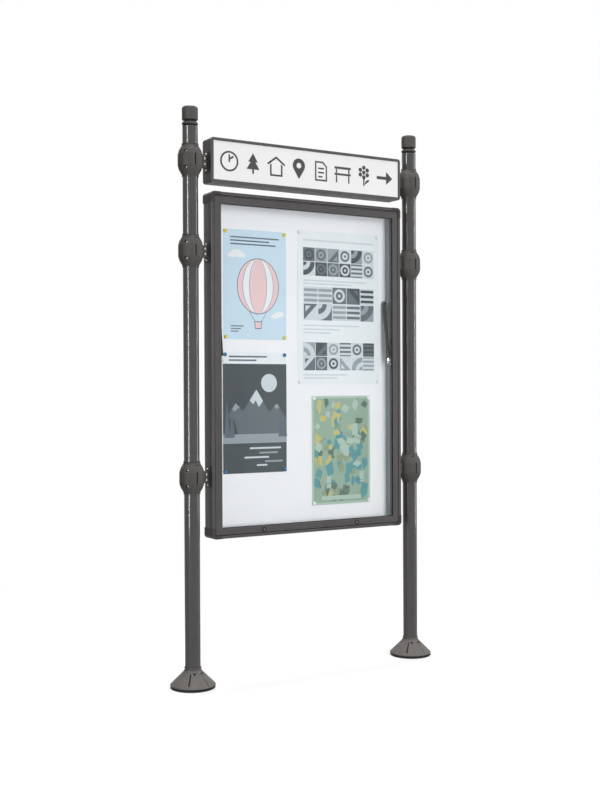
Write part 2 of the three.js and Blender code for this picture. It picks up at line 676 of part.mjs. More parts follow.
function strut(word, across) {
  const inwards = new THREE.Vector3(-across, 0, 0);
  const at = (x, point) => new THREE.Vector3(across * x, point.y, point.z);
  const foot = strutTop.clone().add(strutRun);
  const eyeOut = strutX + half(STRUT.eyeWidth);
  const tubeStart = strutTop.clone().addScaledVector(strutAlong, half(STRUT.eye) - FIT.gap);
  const tubeLength = strutLength - half(STRUT.eye) - half(STRUT.rodEye) - STRUT.sleeveLength - FIT.overrun;
  const eye = bar(half(STRUT.eye), at(eyeOut, strutTop), inwards, STRUT.eyeWidth, FACETS.small);
  const tube = bar(half(STRUT.tube), at(strutX, tubeStart), strutAlong, tubeLength, FACETS.post);
  const eyeHole = bar(
    half(STRUT.eyeBolt) + FIT.running, at(eyeOut + FIT.overrun, strutTop), inwards,
    STRUT.eyeWidth + 2 * FIT.overrun, FACETS.small,
  );
  const borePast = tubeStart.clone().addScaledVector(strutAlong, half(STRUT.eye));
  const rodBore = bar(
    half(STRUT.rod) + FIT.running, at(strutX, borePast), strutAlong, tubeLength + FIT.overrun, FACETS.small,
  );
  const cylinder = eye.add(tube).subtract(eyeHole).subtract(rodBore);
  add(board, `strut_${word}_cylinder`, cylinder, STRUT_BLACK);

  const rodStart = borePast.clone().addScaledVector(strutAlong, FIT.overrun);
  const rodLength = foot.distanceTo(rodStart);
  const rod = bar(half(STRUT.rod), at(strutX, rodStart), strutAlong, rodLength, FACETS.small);
  const sleeveStart = foot.clone().addScaledVector(strutAlong, -half(STRUT.rodEye) - STRUT.sleeveLength);
  const sleeve = bar(
    half(STRUT.rod) + STRUT.sleeveWall, at(strutX, sleeveStart), strutAlong,
    STRUT.sleeveLength + half(STRUT.rodEye), FACETS.small,
  );
  const rodEye = bar(half(STRUT.rodEye), at(eyeOut, foot), inwards, STRUT.eyeWidth, FACETS.small);
  add(board, `strut_${word}_rod`, rod.add(sleeve).add(rodEye), CHROME);

  const wallPlate = plateAt(across, innerWall, strutTop);
  const bolt = bar(
    half(STRUT.eyeBolt), at(innerWall - half(STRUT.plateThickness), strutTop), inwards,
    STRUT.wallOffset + half(STRUT.eyeWidth), FACETS.small,
  );
  add(board, `strut_${word}_case_bracket`, wallPlate.add(bolt), ZINC);

  const doorPlate = plateAt(across, glassEdge, foot);
  const studLength = glassEdge - eyeOut - FIT.pivot - half(STRUT.plateThickness);
  const studStart = at(glassEdge - half(STRUT.plateThickness), foot);
  const stud = bar(half(STRUT.studDiameter), studStart, inwards, studLength, FACETS.small);
  add(board, `strut_${word}_door_stud`, doorPlate.add(stud), ZINC);
}

// A small plate on an inner wall of the case or the door, square to X.
function plateAt(across, wallX, point) {
  const xs = [across * wallX, across * (wallX - STRUT.plateThickness)].sort((p, q) => p - q);
  const rise = half(STRUT.plate);
  const deep = half(STRUT.studDiameter);
  return box(...xs, point.y - deep, point.y + deep, point.z - rise, point.z + rise);
}

// Lock plug with its cam, which stands clear of the rail when it is unlocked.
function lock(word, x) {
  const z = caseBottom + LOCK.height;
  const head = new THREE.Vector3(x, front - LOCK.headDepth, z);
  const headBack = doorFront - FIT.gap;
  const camFace = stepFace + CASE_RAIL.wall + FIT.running + FIT.gap;
  const plug = bar(half(LOCK.head), head, Y, headBack - head.y, FACETS.post);
  const barrelLength = camFace - headBack + LOCK.cam;
  const barrelStart = new THREE.Vector3(x, headBack, z);
  const barrel = bar(half(LOCK.barrel), barrelStart, Y, barrelLength, FACETS.post);
  const camSide = half(LOCK.camWidth);
  const cam = box(x - camSide, x + camSide, camFace, camFace + LOCK.cam, z, z + LOCK.camReach);
  const key = half(LOCK.barrel) / 2;
  const slit = box(x - key, x + key, head.y - FIT.overrun, headBack, z - FIT.seam, z + FIT.seam);
  add(board, `lock_${word}`, plug.add(barrel).add(cam).subtract(slit), ZINC);
}

post(-1);
post(1);
header();
caseRails();
caseCorners();
add(board, 'back_panel', pressedPanel(), BOARD_WHITE);
door();
hinge();
strut('left', -1);
strut('right', 1);
lock('left', lockPlaces()[0]);
lock('right', lockPlaces()[1]);

export default board;
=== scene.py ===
import random
from math import acos, cos, pi, radians, sin

import bmesh
import bpy
from mathutils import Matrix, Vector


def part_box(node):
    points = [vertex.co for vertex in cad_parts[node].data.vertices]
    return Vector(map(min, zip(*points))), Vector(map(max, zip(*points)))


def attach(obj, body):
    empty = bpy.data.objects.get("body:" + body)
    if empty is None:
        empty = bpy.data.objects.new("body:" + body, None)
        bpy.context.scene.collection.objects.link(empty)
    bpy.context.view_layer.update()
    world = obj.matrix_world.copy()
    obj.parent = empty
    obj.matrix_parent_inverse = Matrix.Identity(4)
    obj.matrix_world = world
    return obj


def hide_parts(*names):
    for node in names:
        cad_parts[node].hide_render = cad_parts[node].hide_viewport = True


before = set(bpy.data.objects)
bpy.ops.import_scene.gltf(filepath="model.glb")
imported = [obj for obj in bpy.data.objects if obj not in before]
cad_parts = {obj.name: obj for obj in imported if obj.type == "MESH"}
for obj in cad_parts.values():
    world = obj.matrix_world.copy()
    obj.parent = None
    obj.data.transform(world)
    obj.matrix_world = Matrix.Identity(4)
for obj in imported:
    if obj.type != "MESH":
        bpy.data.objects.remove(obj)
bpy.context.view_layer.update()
random.seed(11)

MM = 0.001
SKIN = 0.05 * MM  # keeps two faces apart that would otherwise lie in one plane
FRONT = Vector((0, -1, 0))
UP = Vector((0, 0, 1))
SIDES = (("left", -1), ("right", 1))
ENDS = (-1, 1)
RAILS = ("left", "right", "bottom", "top")
COLLARS = ("header", "upper", "lower")

# Camera, found by fitting a pinhole view to the photograph (600 x 800)
CAMERA_PLACE = Vector((-3.065, -5.037, 1.441))
CAMERA_YAW = radians(30.99)
CAMERA_PITCH = radians(-0.53)
CAMERA_ROLL = radians(-0.26)
FOCAL_PX = 1150
PHOTO_HEIGHT_PX = 800
SENSOR_MM = 36

WHITE = (1, 1, 1, 1)


# Materials

MAT = {}


def new_material(name):
    """Adds a material to MAT. Returns its node tree and the sockets of its shader."""
    MAT[name] = mat = bpy.data.materials.new(f"{name}_surface")
    mat.use_nodes = True
    return mat.node_tree, mat.node_tree.nodes["Principled BSDF"].inputs


def feed(tree, socket, value):
    """Links a node's output to the socket, or sets the socket to a plain value."""
    if hasattr(value, "is_linked"):
        tree.links.new(value, socket)
    else:
        socket.default_value = value


def add(tree, kind, **sockets):
    node = tree.nodes.new(kind)
    for key, value in sockets.items():
        feed(tree, node.inputs[key.replace("_", " ")], value)
    return node


def maths(tree, operation, first, second):
    node = tree.nodes.new("ShaderNodeMath")
    node.operation = operation
    feed(tree, node.inputs[0], first)
    feed(tree, node.inputs[1], second)
    return node.outputs[0]


def blend(tree, factor, first, second):
    """Two shaders in one."""
    node = tree.nodes.new("ShaderNodeMixShader")
    for socket, value in zip(node.inputs, (factor, first, second)):
        tree.links.new(value, socket)
    return node.outputs[0]


def noise(tree, scale, stretch=(1, 1, 1), detail=3.0, rough=0.55):
    """Noise in the object's own space. A stretch below 1 draws it out along that axis."""
    coords = tree.nodes.new("ShaderNodeTexCoord")
    mapping = add(tree, "ShaderNodeMapping", Vector=coords.outputs["Object"], Scale=stretch)
    return add(tree, "ShaderNodeTexNoise", Vector=mapping.outputs["Vector"], Scale=scale,
               Detail=detail, Roughness=rough).outputs["Fac"]


def ranged(tree, source, low, high, source_low=0.3, source_high=0.7):
    return add(tree, "ShaderNodeMapRange", Value=source, From_Min=source_low,
               From_Max=source_high, To_Min=low, To_Max=high).outputs["Result"]


def mixed(tree, factor, first, second):
    """Two colours in one."""
    node = tree.nodes.new("ShaderNodeMix")
    node.data_type = "RGBA"
    factor_in, first_in, second_in, colour_out = 0, 6, 7, 2
    feed(tree, node.inputs[factor_in], factor)
    for socket, value in ((first_in, first), (second_in, second)):
        feed(tree, node.inputs[socket], (*value, 1) if isinstance(value, tuple) else value)
    return node.outputs[colour_out]


def bump(tree, height, strength, distance):
    return add(tree, "ShaderNodeBump", Height=height, Strength=strength,
               Distance=distance).outputs["Normal"]


def shade(colour, factor):
    return tuple(min(1.0, c * factor) for c in colour)


def drifting(tree, source, colour, darker, lighter):
    """The colour with a slow drift between two shades of it."""
    return mixed(tree, ranged(tree, source, 0, 1), shade(colour, darker), shade(colour, lighter))


def painted_crevice_shade(tree, colour, dark, reach):
    """The colour darkened by painted shade in grooves and joints narrower than the reach."""
    open_share = add(tree, "ShaderNodeAmbientOcclusion", Distance=reach)
    open_share.samples = 4
    return mixed(tree, ranged(tree, open_share.outputs["AO"], 0, 1, 0.3, 0.85), dark, colour)


def coated(name, colour, rough, grain=900.0, peel=0.12, dust=0.25, coat=0.0, specular=0.22,
           crevice_shade_reach=0.0):
    """Powder coat: orange peel, a slow drift of colour, faint dust that rain drew downwards, and,
    given a reach, painted shade in its grooves.
    """
    tree, sockets = new_material(name)
    paint = drifting(tree, noise(tree, 5.0), colour, 0.93, 1.07)
    runs = noise(tree, 40.0, (1, 1, 0.06), 5.0, 0.6)
    paint = mixed(tree, ranged(tree, runs, 0, dust, 0.52, 0.8), paint, shade(colour, 2.1))
    # Painted shade: ambient occlusion darkens grooves, pockets and joints
    if crevice_shade_reach:
        paint = painted_crevice_shade(tree, paint, shade(colour, 0.15), crevice_shade_reach)
    feed(tree, sockets["Base Color"], paint)
    patch = noise(tree, 30.0, (1, 1, 0.3), 4.0)
    feed(tree, sockets["Roughness"], ranged(tree, patch, rough * 0.85, rough * 1.2))
    if peel:
        pits = noise(tree, grain, detail=2.0)
        feed(tree, sockets["Normal"], bump(tree, pits, peel, 0.4 * MM))
    sockets["Specular IOR Level"].default_value = specular
    sockets["Coat Weight"].default_value = coat
    sockets["Coat Roughness"].default_value = 0.1


def brushed(name, colour, rough, stretch=(1, 1, 1)):
    """Plated or polished metal with fine marks and a slight cloud."""
    tree, sockets = new_material(name)
    marks = noise(tree, 300.0, stretch, 4.0, 0.6)
    feed(tree, sockets["Roughness"], ranged(tree, marks, rough * 0.7, rough * 1.35))
    feed(tree, sockets["Base Color"], drifting(tree, noise(tree, 60.0), colour, 0.9, 1.08))
    feed(tree, sockets["Normal"], bump(tree, marks, 0.05, 0.1 * MM))
    sockets["Metallic"].default_value = 1.0


def plain(name, colour, rough, vary=0.05, scale=60.0, relief=0.04, specular=0.5):
    """Enamel, film, rubber or paper ink with a slow drift of colour and a fine surface."""
    tree, sockets = new_material(name)
    paint = drifting(tree, noise(tree, scale), colour, 1 - vary, 1 + vary)
    feed(tree, sockets["Base Color"], paint)
    patch = noise(tree, scale * 3)
    feed(tree, sockets["Roughness"], ranged(tree, patch, rough * 0.9, rough * 1.1))
    feed(tree, sockets["Normal"], bump(tree, noise(tree, scale * 20), relief, 0.2 * MM))
    sockets["Specular IOR Level"].default_value = specular


def glazing(name):
    """Clear glass: see-through, with a sharp reflection and a faint haze of dust."""
    tree, _ = new_material(name)
    tree.nodes.remove(tree.nodes["Principled BSDF"])
    clear = add(tree, "ShaderNodeBsdfTransparent", Color=(0.985, 0.995, 0.995, 1))
    gloss = add(tree, "ShaderNodeBsdfGlossy", Roughness=0.02)
    haze = add(tree, "ShaderNodeBsdfDiffuse", Color=(0.8, 0.84, 0.85, 1))
    fresnel = add(tree, "ShaderNodeFresnel", IOR=1.5)
    mirrored = maths(tree, "MULTIPLY", fresnel.outputs[0], 0.3)
    clean = blend(tree, mirrored, clear.outputs[0], gloss.outputs[0])
    smear = ranged(tree, noise(tree, 3.0, (1, 1, 0.5), 6.0, 0.65), 0.0, 0.012, 0.4, 0.8)
    feed(tree, tree.nodes["Material Output"].inputs["Surface"],
         blend(tree, smear, clean, haze.outputs[0]))


# Surfaces. Colours are linear values.
coated("post", (0.058, 0.055, 0.054), 0.5, peel=0, dust=0.1, coat=0.38, specular=0.12)
# cast, foot and frame carry painted shade in their grooves, pockets and joints
coated("cast", (0.088, 0.083, 0.08), 0.5, 500.0, peel=0.2, dust=0.2, specular=0.06, crevice_shade_reach=16 * MM)
coated("foot", (0.132, 0.124, 0.119), 0.5, 500.0, peel=0.2, dust=0.2, specular=0.06, crevice_shade_reach=14 * MM)
coated("frame", (0.086, 0.082, 0.082), 0.42, peel=0.08, dust=0.12, specular=0.14, crevice_shade_reach=7 * MM)
coated("moulded", (0.054, 0.051, 0.05), 0.42, 1200.0, peel=0.15, dust=0.15, specular=0.1)
coated("strut", (0.012, 0.012, 0.013), 0.25, peel=0.04, dust=0.1)
plain("enamel", (0.885, 0.87, 0.9), 0.32, 0.015, 3.0, 0.02, specular=0.2)
plain("sign", (0.815, 0.81, 0.81), 0.35, 0.015, 4.0, 0.02, specular=0.04)
plain("film", (0.082, 0.082, 0.084), 0.4, 0.04, 30.0, 0.02, specular=0.04)
plain("lining", (0.235, 0.285, 0.3), 0.4, 0.04, 8.0, 0.02)
plain("rubber", (0.016, 0.016, 0.017), 0.6, 0.1, 90.0, 0.1, specular=0.15)
brushed("zinc", (0.46, 0.45, 0.43), 0.34)
brushed("bolt", (0.62, 0.61, 0.58), 0.24)
brushed("dark_screw", (0.06, 0.058, 0.055), 0.4)
brushed("chrome", (0.75, 0.75, 0.74), 0.09, (1, 1, 0.1))
brushed("lock", (0.2, 0.19, 0.175), 0.3)
glazing("glass")
plain("magnet_yellow", (0.72, 0.56, 0.05), 0.3, 0.03, 40.0, 0.02)
plain("magnet_blue", (0.02, 0.13, 0.33), 0.28, 0.03, 40.0, 0.02)
plain("magnet_white", (0.78, 0.79, 0.78), 0.3, 0.03, 40.0, 0.02)


# Mesh tools

def mm(*sizes):
    """Sizes, or points, given in millimetres, in metres."""
    return [tuple(mm(*size)) if isinstance(size, tuple) else size * MM for size in sizes]


def finish(obj, material, replaced=(), body="stand", sharp=30, bevel=0.0):
    obj.data.materials.clear()
    obj.data.materials.append(MAT[material])
    obj.data.polygons.foreach_set("use_smooth", [True] * len(obj.data.polygons))
    obj.data.set_sharp_from_angle(angle=radians(sharp))
    if bevel:
        soften(obj, bevel)
    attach(obj, body)
    if replaced:
        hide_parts(*replaced)


def soften(obj, width, segments=2):
    """Rounds the edges sharper than 35 degrees."""
    edge = obj.modifiers.new("edge", "BEVEL")
    edge.width = width
    edge.segments = segments
    edge.limit_method = "ANGLE"
    edge.angle_limit = radians(35)
    edge.harden_normals = True
    edge.use_clamp_overlap = True


def add_object(name, data):
    obj = bpy.data.objects.new(name, data)
    bpy.context.scene.collection.objects.link(obj)
    return obj


def drop_object(obj):
    data = obj.data
    bpy.data.objects.remove(obj)
    bpy.data.meshes.remove(data)


def mesh_object(name, points, faces):
    data = bpy.data.meshes.new(name)
    data.from_pydata([tuple(p) for p in points], [], faces)
    data.validate()
    return add_object(name, data)


def outwards(obj):
    tool = bmesh.new()
    tool.from_mesh(obj.data)
    bmesh.ops.remove_doubles(tool, verts=tool.verts, dist=0.001 * MM)
    bmesh.ops.recalc_face_normals(tool, faces=tool.faces)
    tool.to_mesh(obj.data)
    tool.free()
    return obj


def swept(name, sections):
    """A closed solid through a row of sections, each a ring of the same number of points."""
    count, last = len(sections[0]), len(sections) - 1
    faces = [tuple(range(count)), tuple(last * count + k for k in reversed(range(count)))]
    for i in range(0, last * count, count):
        for k in range(count):
            n = (k + 1) % count
            faces.append((i + k, i + n, i + count + n, i + count + k))
    return outwards(mesh_object(name, [p for section in sections for p in section], faces))


def block(name, low, high):
    (x0, y0, z0), (x1, y1, z1) = low, high
    return swept(name, [[(x0, y0, z), (x1, y0, z), (x1, y1, z), (x0, y1, z)] for z in (z0, z1)])


def slab(centre, *spans):
    """A block from its span in mm along each axis, counted from the centre."""
    low, high = zip(*(sorted(span) for span in spans))
    return block("slab", centre + Vector(low) * MM, centre + Vector(high) * MM)


def prism(name, outline, matrix, depth):
    """A flat outline given a thickness along the matrix's Z."""
    return swept(name, [[matrix @ Vector((x, y, z)) for x, y in outline] for z in (0, depth)])


def at(x):
    return Matrix.Translation((x, 0, 0))


def aimed(start, direction):
    """The matrix whose Z runs from the start along the direction."""
    turn = UP.rotation_difference(Vector(direction).normalized()).to_matrix().to_4x4()
    return Matrix.Translation(Vector(start)) @ turn


def lathe(name, profile, matrix, steps):
    """A closed solid of revolution about the matrix's Z, from (radius, height) points."""
    points, rings = [], []
    for radius, height in profile:
        turns = steps if radius > 1e-7 else 1
        rings.append(range(len(points), len(points) + turns))
        points += [matrix @ Vector((x, y, height)) for x, y in disc(radius, steps)[:turns]]
    faces = []
    pairs = list(zip(rings, rings[1:]))
    if len(rings[0]) > 1 or len(rings[-1]) > 1:
        pairs.append((rings[-1], rings[0]))
    for low, high in pairs:
        for i in range(steps):
            j = (i + 1) % steps
            face = dict.fromkeys((low[i % len(low)], low[j % len(low)],
                                  high[j % len(high)], high[i % len(high)]))
            if len(face) > 2:
                faces.append(list(face))
    return outwards(mesh_object(name, points, faces))


def rod(name, radius, length, matrix, steps):
    return lathe(name, [(0, 0), (radius, 0), (radius, length), (0, length)], matrix, steps)


def half_lathe(name, profile, centre, towards, gap, steps):
    """Half of a closed ring section, beside a seam, on the side towards (+1 or -1) along X."""
    sections = []
    for i in range(steps + 1):
        section = []
        for radius, height in profile:
            angle = (2 * i / steps - 1) * acos(gap / radius)
            section.append(centre + Vector((radius * cos(angle) * towards,
                                            radius * sin(angle), height)))
        sections.append(section)
    return swept(name, sections)


def rounded(points, radius, steps):
    """The outline with its inner corners rounded. Its two ends stay as they are."""
    result = [points[0]]
    for before, corner, after in zip(points, points[1:], points[2:]):
        here = Vector(corner)
        back, on = Vector(before) - here, Vector(after) - here
        reach = min(radius, back.length * 0.45, on.length * 0.45)
        start, end = here + back.normalized() * reach, here + on.normalized() * reach
        for i in range(steps + 1):
            t = i / steps
            result.append(tuple((1 - t) ** 2 * start + 2 * t * (1 - t) * here + t * t * end))
    return result + [points[-1]]


def combined(obj, tools, operation):
    """Applies a boolean with every tool and deletes the tools."""
    for tool in tools:
        step = obj.modifiers.new("combine", "BOOLEAN")
        step.operation = operation
        step.solver = "EXACT"
        step.object = tool
    graph = bpy.context.evaluated_depsgraph_get()
    graph.update()
    old, obj.data = obj.data, bpy.data.meshes.new_from_object(obj.evaluated_get(graph))
    obj.modifiers.clear()
    bpy.data.meshes.remove(old)
    for tool in tools:
        drop_object(tool)
    return obj


def cut(obj, tools):
    return combined(obj, tools, "DIFFERENCE")


def joined(name, parts):
    """One object of several closed shells."""
    tool = bmesh.new()
    for part in parts:
        tool.from_mesh(part.data)
    data = bpy.data.meshes.new(name)
    tool.to_mesh(data)
    tool.free()
    for part in parts:
        drop_object(part)
    return add_object(name, data)


def ellipse(wide, tall, x=0, y=0, steps=40):
    angles = [2 * pi * i / steps for i in range(steps)]
    return [(x + wide * cos(a), y + tall * sin(a)) for a in angles]


def disc(radius, steps=48, x=0, y=0):
    return ellipse(radius, radius, x, y, steps)


def rectangle(x0, x1, y0, y1):
    return [(x0, y0), (x1, y0), (x1, y1), (x0, y1)]


# Screws and bolts. Sizes are half widths, so a head is a radius.

HEAD_STEPS = 28


def keyed_head(name, profile, matrix, key, floor, depth, material):
    """A turned head with a hexagon socket down to the floor."""
    socket = prism("socket_tool", disc(key, 6), matrix @ Matrix.Translation((0, 0, floor)), depth)
    finish(cut(lathe(name, profile, matrix, HEAD_STEPS), [socket]), material)


def socket_screw(name, place, direction, head, height, key):
    """Cap head screw."""
    edge = head * 0.06
    profile = [(0, 0), (head, 0), (head, height - edge), (head - edge, height), (0, height)]
    keyed_head(name, profile, aimed(place, direction), key, height * 0.45, height, "dark_screw")


def dome_screw(name, place, direction, head):
    """Dome head screw."""
    steps, rim, rise = 6, head * 0.12, head * 0.55
    profile = [(0, 0), (head, 0)]
    for i in range(steps):
        t = i / steps * pi / 2
        profile.append((head * cos(t), rim + rise * sin(t)))
    profile.append((0, rim + rise))
    keyed_head(name, profile, aimed(place, direction), head * 0.42, rise * 0.5, rise, "bolt")


def hex_nut(name, place, direction, across, height, material):
    """Hexagon nut with a washer under it and a bolt's end in it."""
    matrix = aimed(place, direction)
    washer, stub, tip = height * 0.18, across * 0.52, height * 1.55
    nut = prism("hex", disc(across, 6), matrix @ Matrix.Translation((0, 0, washer)), height)
    ring = rod("washer", across * 1.25, washer, matrix, HEAD_STEPS)
    bolt = lathe("stub", [(0, washer), (stub, washer), (stub, height * 1.45),
                          (across * 0.44, tip), (0, tip)], matrix, 20)
    finish(joined(name, [nut, ring, bolt]), material, bevel=0.35 * MM)


# Places read from the frame

def middle(node):
    low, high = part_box(node)
    return (Vector(low) + Vector(high)) / 2


def half_width(node, axis=0):
    low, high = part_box(node)
    return (high[axis] - low[axis]) / 2


def post_x(side):
    return middle(f"post_{side}").x


FINIAL_OVER_POST = 1 * MM
POST_R = half_width("finial_left") - FINIAL_OVER_POST
POST_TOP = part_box("post_left")[1][2]
CLAMP_BORE = POST_R / MM + 0.3  # in mm


# Posts, finials and feet

def make_post(side):
    thick, wall, edge, bolt_circle = mm(12, 3, 0.6, 70)
    place = at(post_x(side))
    tube = lathe(f"post_tube_{side}", [
        (POST_R - wall, thick), (POST_R, thick), (POST_R, POST_TOP - edge),
        (POST_R - edge, POST_TOP), (POST_R - wall, POST_TOP)], place, 96)
    finish(tube, "post", (f"post_{side}",))
    plate = rod(f"anchor_plate_{side}", half_width(f"post_{side}"), thick - SKIN, place, 64)
    finish(plate, "post", bevel=edge)
    for i in range(4):
        angle = pi / 4 + i * pi / 2
        spot = place @ Vector((bolt_circle * cos(angle), bolt_circle * sin(angle), thick))
        hex_nut(f"anchor_bolt_{side}_{i}", spot, UP, 11 * MM, 9 * MM, "zinc")


def make_finial(side):
    """A plug in the post, a seat, a bead and a knob, in mm above the post's top."""
    top = (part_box(f"finial_{side}")[1][2] - POST_TOP) / MM
    post, knob = POST_R / MM, half_width(f"finial_{side}") / MM
    spigot, neck = post - 3.3, post - 15
    plug = [(0, -30), (spigot, -30), (spigot, 0), (post, 0), (post, 0.8), (neck, 2.2)]
    bead = rounded([(neck, 7), (knob, 7), (knob, 20), (neck, 20)], 6, 7)
    head = rounded([(neck, 29), (knob, 29), (knob, top - 1.5), (0, top)], 13, 8)
    place = Matrix.Translation((post_x(side), 0, POST_TOP))
    finial = lathe(f"turned_finial_{side}", mm(*plug, *bead, *head), place, 80)
    finish(finial, "cast", (f"finial_{side}",), sharp=40)


# Places of a foot cover's details, in degrees round it, as the photograph shows them
FOOT_TURN = {"left": -7, "right": 3}
POCKET_ANGLE = 24.5
SLOT_ANGLE = 44
LINE_ANGLE = -13
FOOT_SEAM = 0.25 * MM


def foot_way(side, degrees, depth):
    """Level direction, from the front (or, at the rear, the back) towards -X (or +X)."""
    angle = radians(degrees + FOOT_TURN[side])
    return Vector((depth * sin(angle), depth * cos(angle), 0))


def make_foot(side, sign):
    """The two halves of a foot cover, their screws and the rubber ring below, in mm."""
    x, node = post_x(side), f"foot_cover_{side}_inner"
    rim, top, seat = half_width(node, 1) / MM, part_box(node)[1][2] / MM, 11
    cone_and_neck = rounded([
        (rim - 4, seat), (rim, 14.5), (rim - 6, 21.5), (48, 78), (42, 87), (39.8, 89),
        (39.6, 95.5), (42, 96), (41.6, top)], 1.2, 3)
    inside = [(CLAMP_BORE, top), (CLAMP_BORE, 74), (44, 66), (rim - 15, 13), (rim - 14, seat)]
    cutters = {-1: [], 1: []}
    for depth in ENDS:
        slot, line = foot_way(side, SLOT_ANGLE, depth), foot_way(side, LINE_ANGLE, depth)
        cutters[depth].append(foot_groove(x, slot, 100, (2.2, 4.6), 9))
        cutters[-depth].append(foot_groove(x, line, 107, (0.9, 1.3), 3))
        for hand in ENDS:
            pocket = foot_way(side, hand * POCKET_ANGLE, depth)
            cutters[hand * depth].append(foot_pocket(x, pocket))
            tag = f"{'front' if depth < 0 else 'rear'}_{'a' if hand < 0 else 'b'}"
            spot = at(x) @ ((pocket * 43 + UP * 74) * MM)
            socket_screw(f"foot_screw_{side}_{tag}", spot, pocket + UP * 0.9, *mm(3.4, 3, 1.8))
    for half, towards in (("inner", -sign), ("outer", sign)):
        shell = half_lathe(f"foot_shell_{side}_{half}", mm(*cone_and_neck, *inside),
                           Vector((x, 0, 0)), towards, FOOT_SEAM, 48)
        finish(cut(shell, cutters[towards]), "foot",
               (f"foot_cover_{side}_{half}",), sharp=35)
    gasket = lathe(f"foot_gasket_{side}", mm(
        (rim - 14, 0), (rim - 4, 0), (rim - 2, 2), (rim - 2, seat - 0.1), (rim - 14, seat - 0.1)),
        at(x), 80)
    finish(gasket, "rubber")


def foot_groove(x, way, reach, half_widths, deep):
    """A long groove down the cone from near the neck, wider at its foot, in mm."""
    across = Vector((way.y, -way.x, 0))
    start, level, fall = 51, 76, 0.99
    high, low = [way * r + UP * (level - (r - start) * fall) for r in (start, reach)]
    normal = across.cross((low - high).normalized())
    if normal.z < 0:
        normal = -normal
    narrow, wide = (across * size for size in half_widths)
    corners = (high - narrow, high + narrow, low + wide, low - wide)
    return swept("groove_tool", [[at(x) @ ((corner + normal * lift) * MM) for corner in corners]
                                 for lift in (-deep, 8)])


def foot_pocket(x, way):
    """A small pointed recess near the neck that holds a screw, in mm."""
    across = Vector((way.y, -way.x, 0))
    corners = [way * 60 + UP * 62] + [way * 46 + across * hand * 8 + UP * 75 for hand in ENDS]
    out = way * 22 + UP * 18
    return swept("pocket_tool", [[at(x) @ ((corner + out * reach) * MM) for corner in corners]
                                 for reach in (-0.12, 1)])


# Collars. Their sizes are in mm, with heights from a collar's middle.

COLLAR_TOP = 79
COLLAR_PROFILE = [(41.2, COLLAR_TOP), (41.6, 75), (40, 74.4), (40.6, 71.5), (44.5, 64),
                  (54.5, 47), (60.5, 27), (60.5, 0)]
COLLAR_SEAM = 0.2 * MM
SCREW_ANGLE = radians(48)
SCREW_LEVEL = 38
POCKET_FLOOR = 43
BOLT_OUT = 72.5
BOLT_LEVEL = 13
CHEEK_NEAR, CHEEK_FAR = 6.3, 14.3


def collar_middle(side, place):
    return Vector((post_x(side), 0, middle(f"collar_{side}_{place}_outer").z))


def screw_place(centre, towards, depth, up):
    """The direction of a pocket on a collar's outer half, and the middle of its floor."""
    way = Vector((towards * sin(SCREW_ANGLE), depth * cos(SCREW_ANGLE), 0))
    return way, centre + (way * POCKET_FLOOR + UP * up * SCREW_LEVEL) * MM


def make_collar(side, sign, place):
    centre = collar_middle(side, place)
    upper = rounded(COLLAR_PROFILE, 3, 4)
    lower = [(r, -h) for r, h in reversed(upper[:-1])]
    section = mm(*upper, *lower, (CLAMP_BORE, -COLLAR_TOP), (CLAMP_BORE, COLLAR_TOP))
    for half, towards in (("inner", -sign), ("outer", sign)):
        node = f"collar_{side}_{place}_{half}"
        shell = half_lathe(f"collar_shell_{side}_{place}_{half}", section, centre, towards,
                           COLLAR_SEAM, 44)
        seam = [slab(centre, (-2.6, 2.6), (depth * 51, depth * 64), (-28, 28)) for depth in ENDS]
        if half == "outer":
            cut(shell, seam + [screw_pocket(centre, towards, depth, up)
                               for depth in ENDS for up in ENDS])
        else:
            notches = [slab(centre, (towards * 1.5, towards * 22), (depth * 39.5, depth * 60),
                            (60, 64.5)) for depth in ENDS]
            cut(shell, seam + notches)
            combined(shell, collar_cheeks(node, centre, towards), "UNION")
        finish(shell, "cast", (node,), sharp=32)
    for depth in ENDS:
        for up in ENDS:
            way, spot = screw_place(centre, sign, depth, up)
            tag = f"{'front' if depth < 0 else 'rear'}_{'up' if up > 0 else 'low'}"
            socket_screw(f"collar_screw_{side}_{place}_{tag}", spot, way, *mm(4.6, 4, 2.4))


def screw_pocket(centre, towards, depth, up):
    way, start = screw_place(centre, towards, depth, up)
    spread = Matrix((Vector((way.y, -way.x, 0)), UP, way)).transposed().to_4x4()
    outline = ellipse(8.5 * MM, 6 * MM, steps=28)
    return prism("pocket_tool", outline, Matrix.Translation(start) @ spread, 30 * MM)


def collar_cheeks(node, centre, towards):
    """The two cheeks of the inner half that hold the bracket's tongue."""
    low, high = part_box(node)
    tip = ((high[0] if towards > 0 else low[0]) - centre.x) / MM
    cheeks = []
    for depth in ENDS:
        cheek = slab(centre, (towards * 52, tip), (depth * CHEEK_NEAR, depth * CHEEK_FAR),
                     (-29, 29))
        for up in ENDS:
            start = centre + Vector((towards * BOLT_OUT, -30, up * BOLT_LEVEL)) * MM
            cut(cheek, [rod("hole_tool", 4 * MM, 60 * MM, aimed(start, -FRONT), 20)])
        cheeks.append(cheek)
    return cheeks


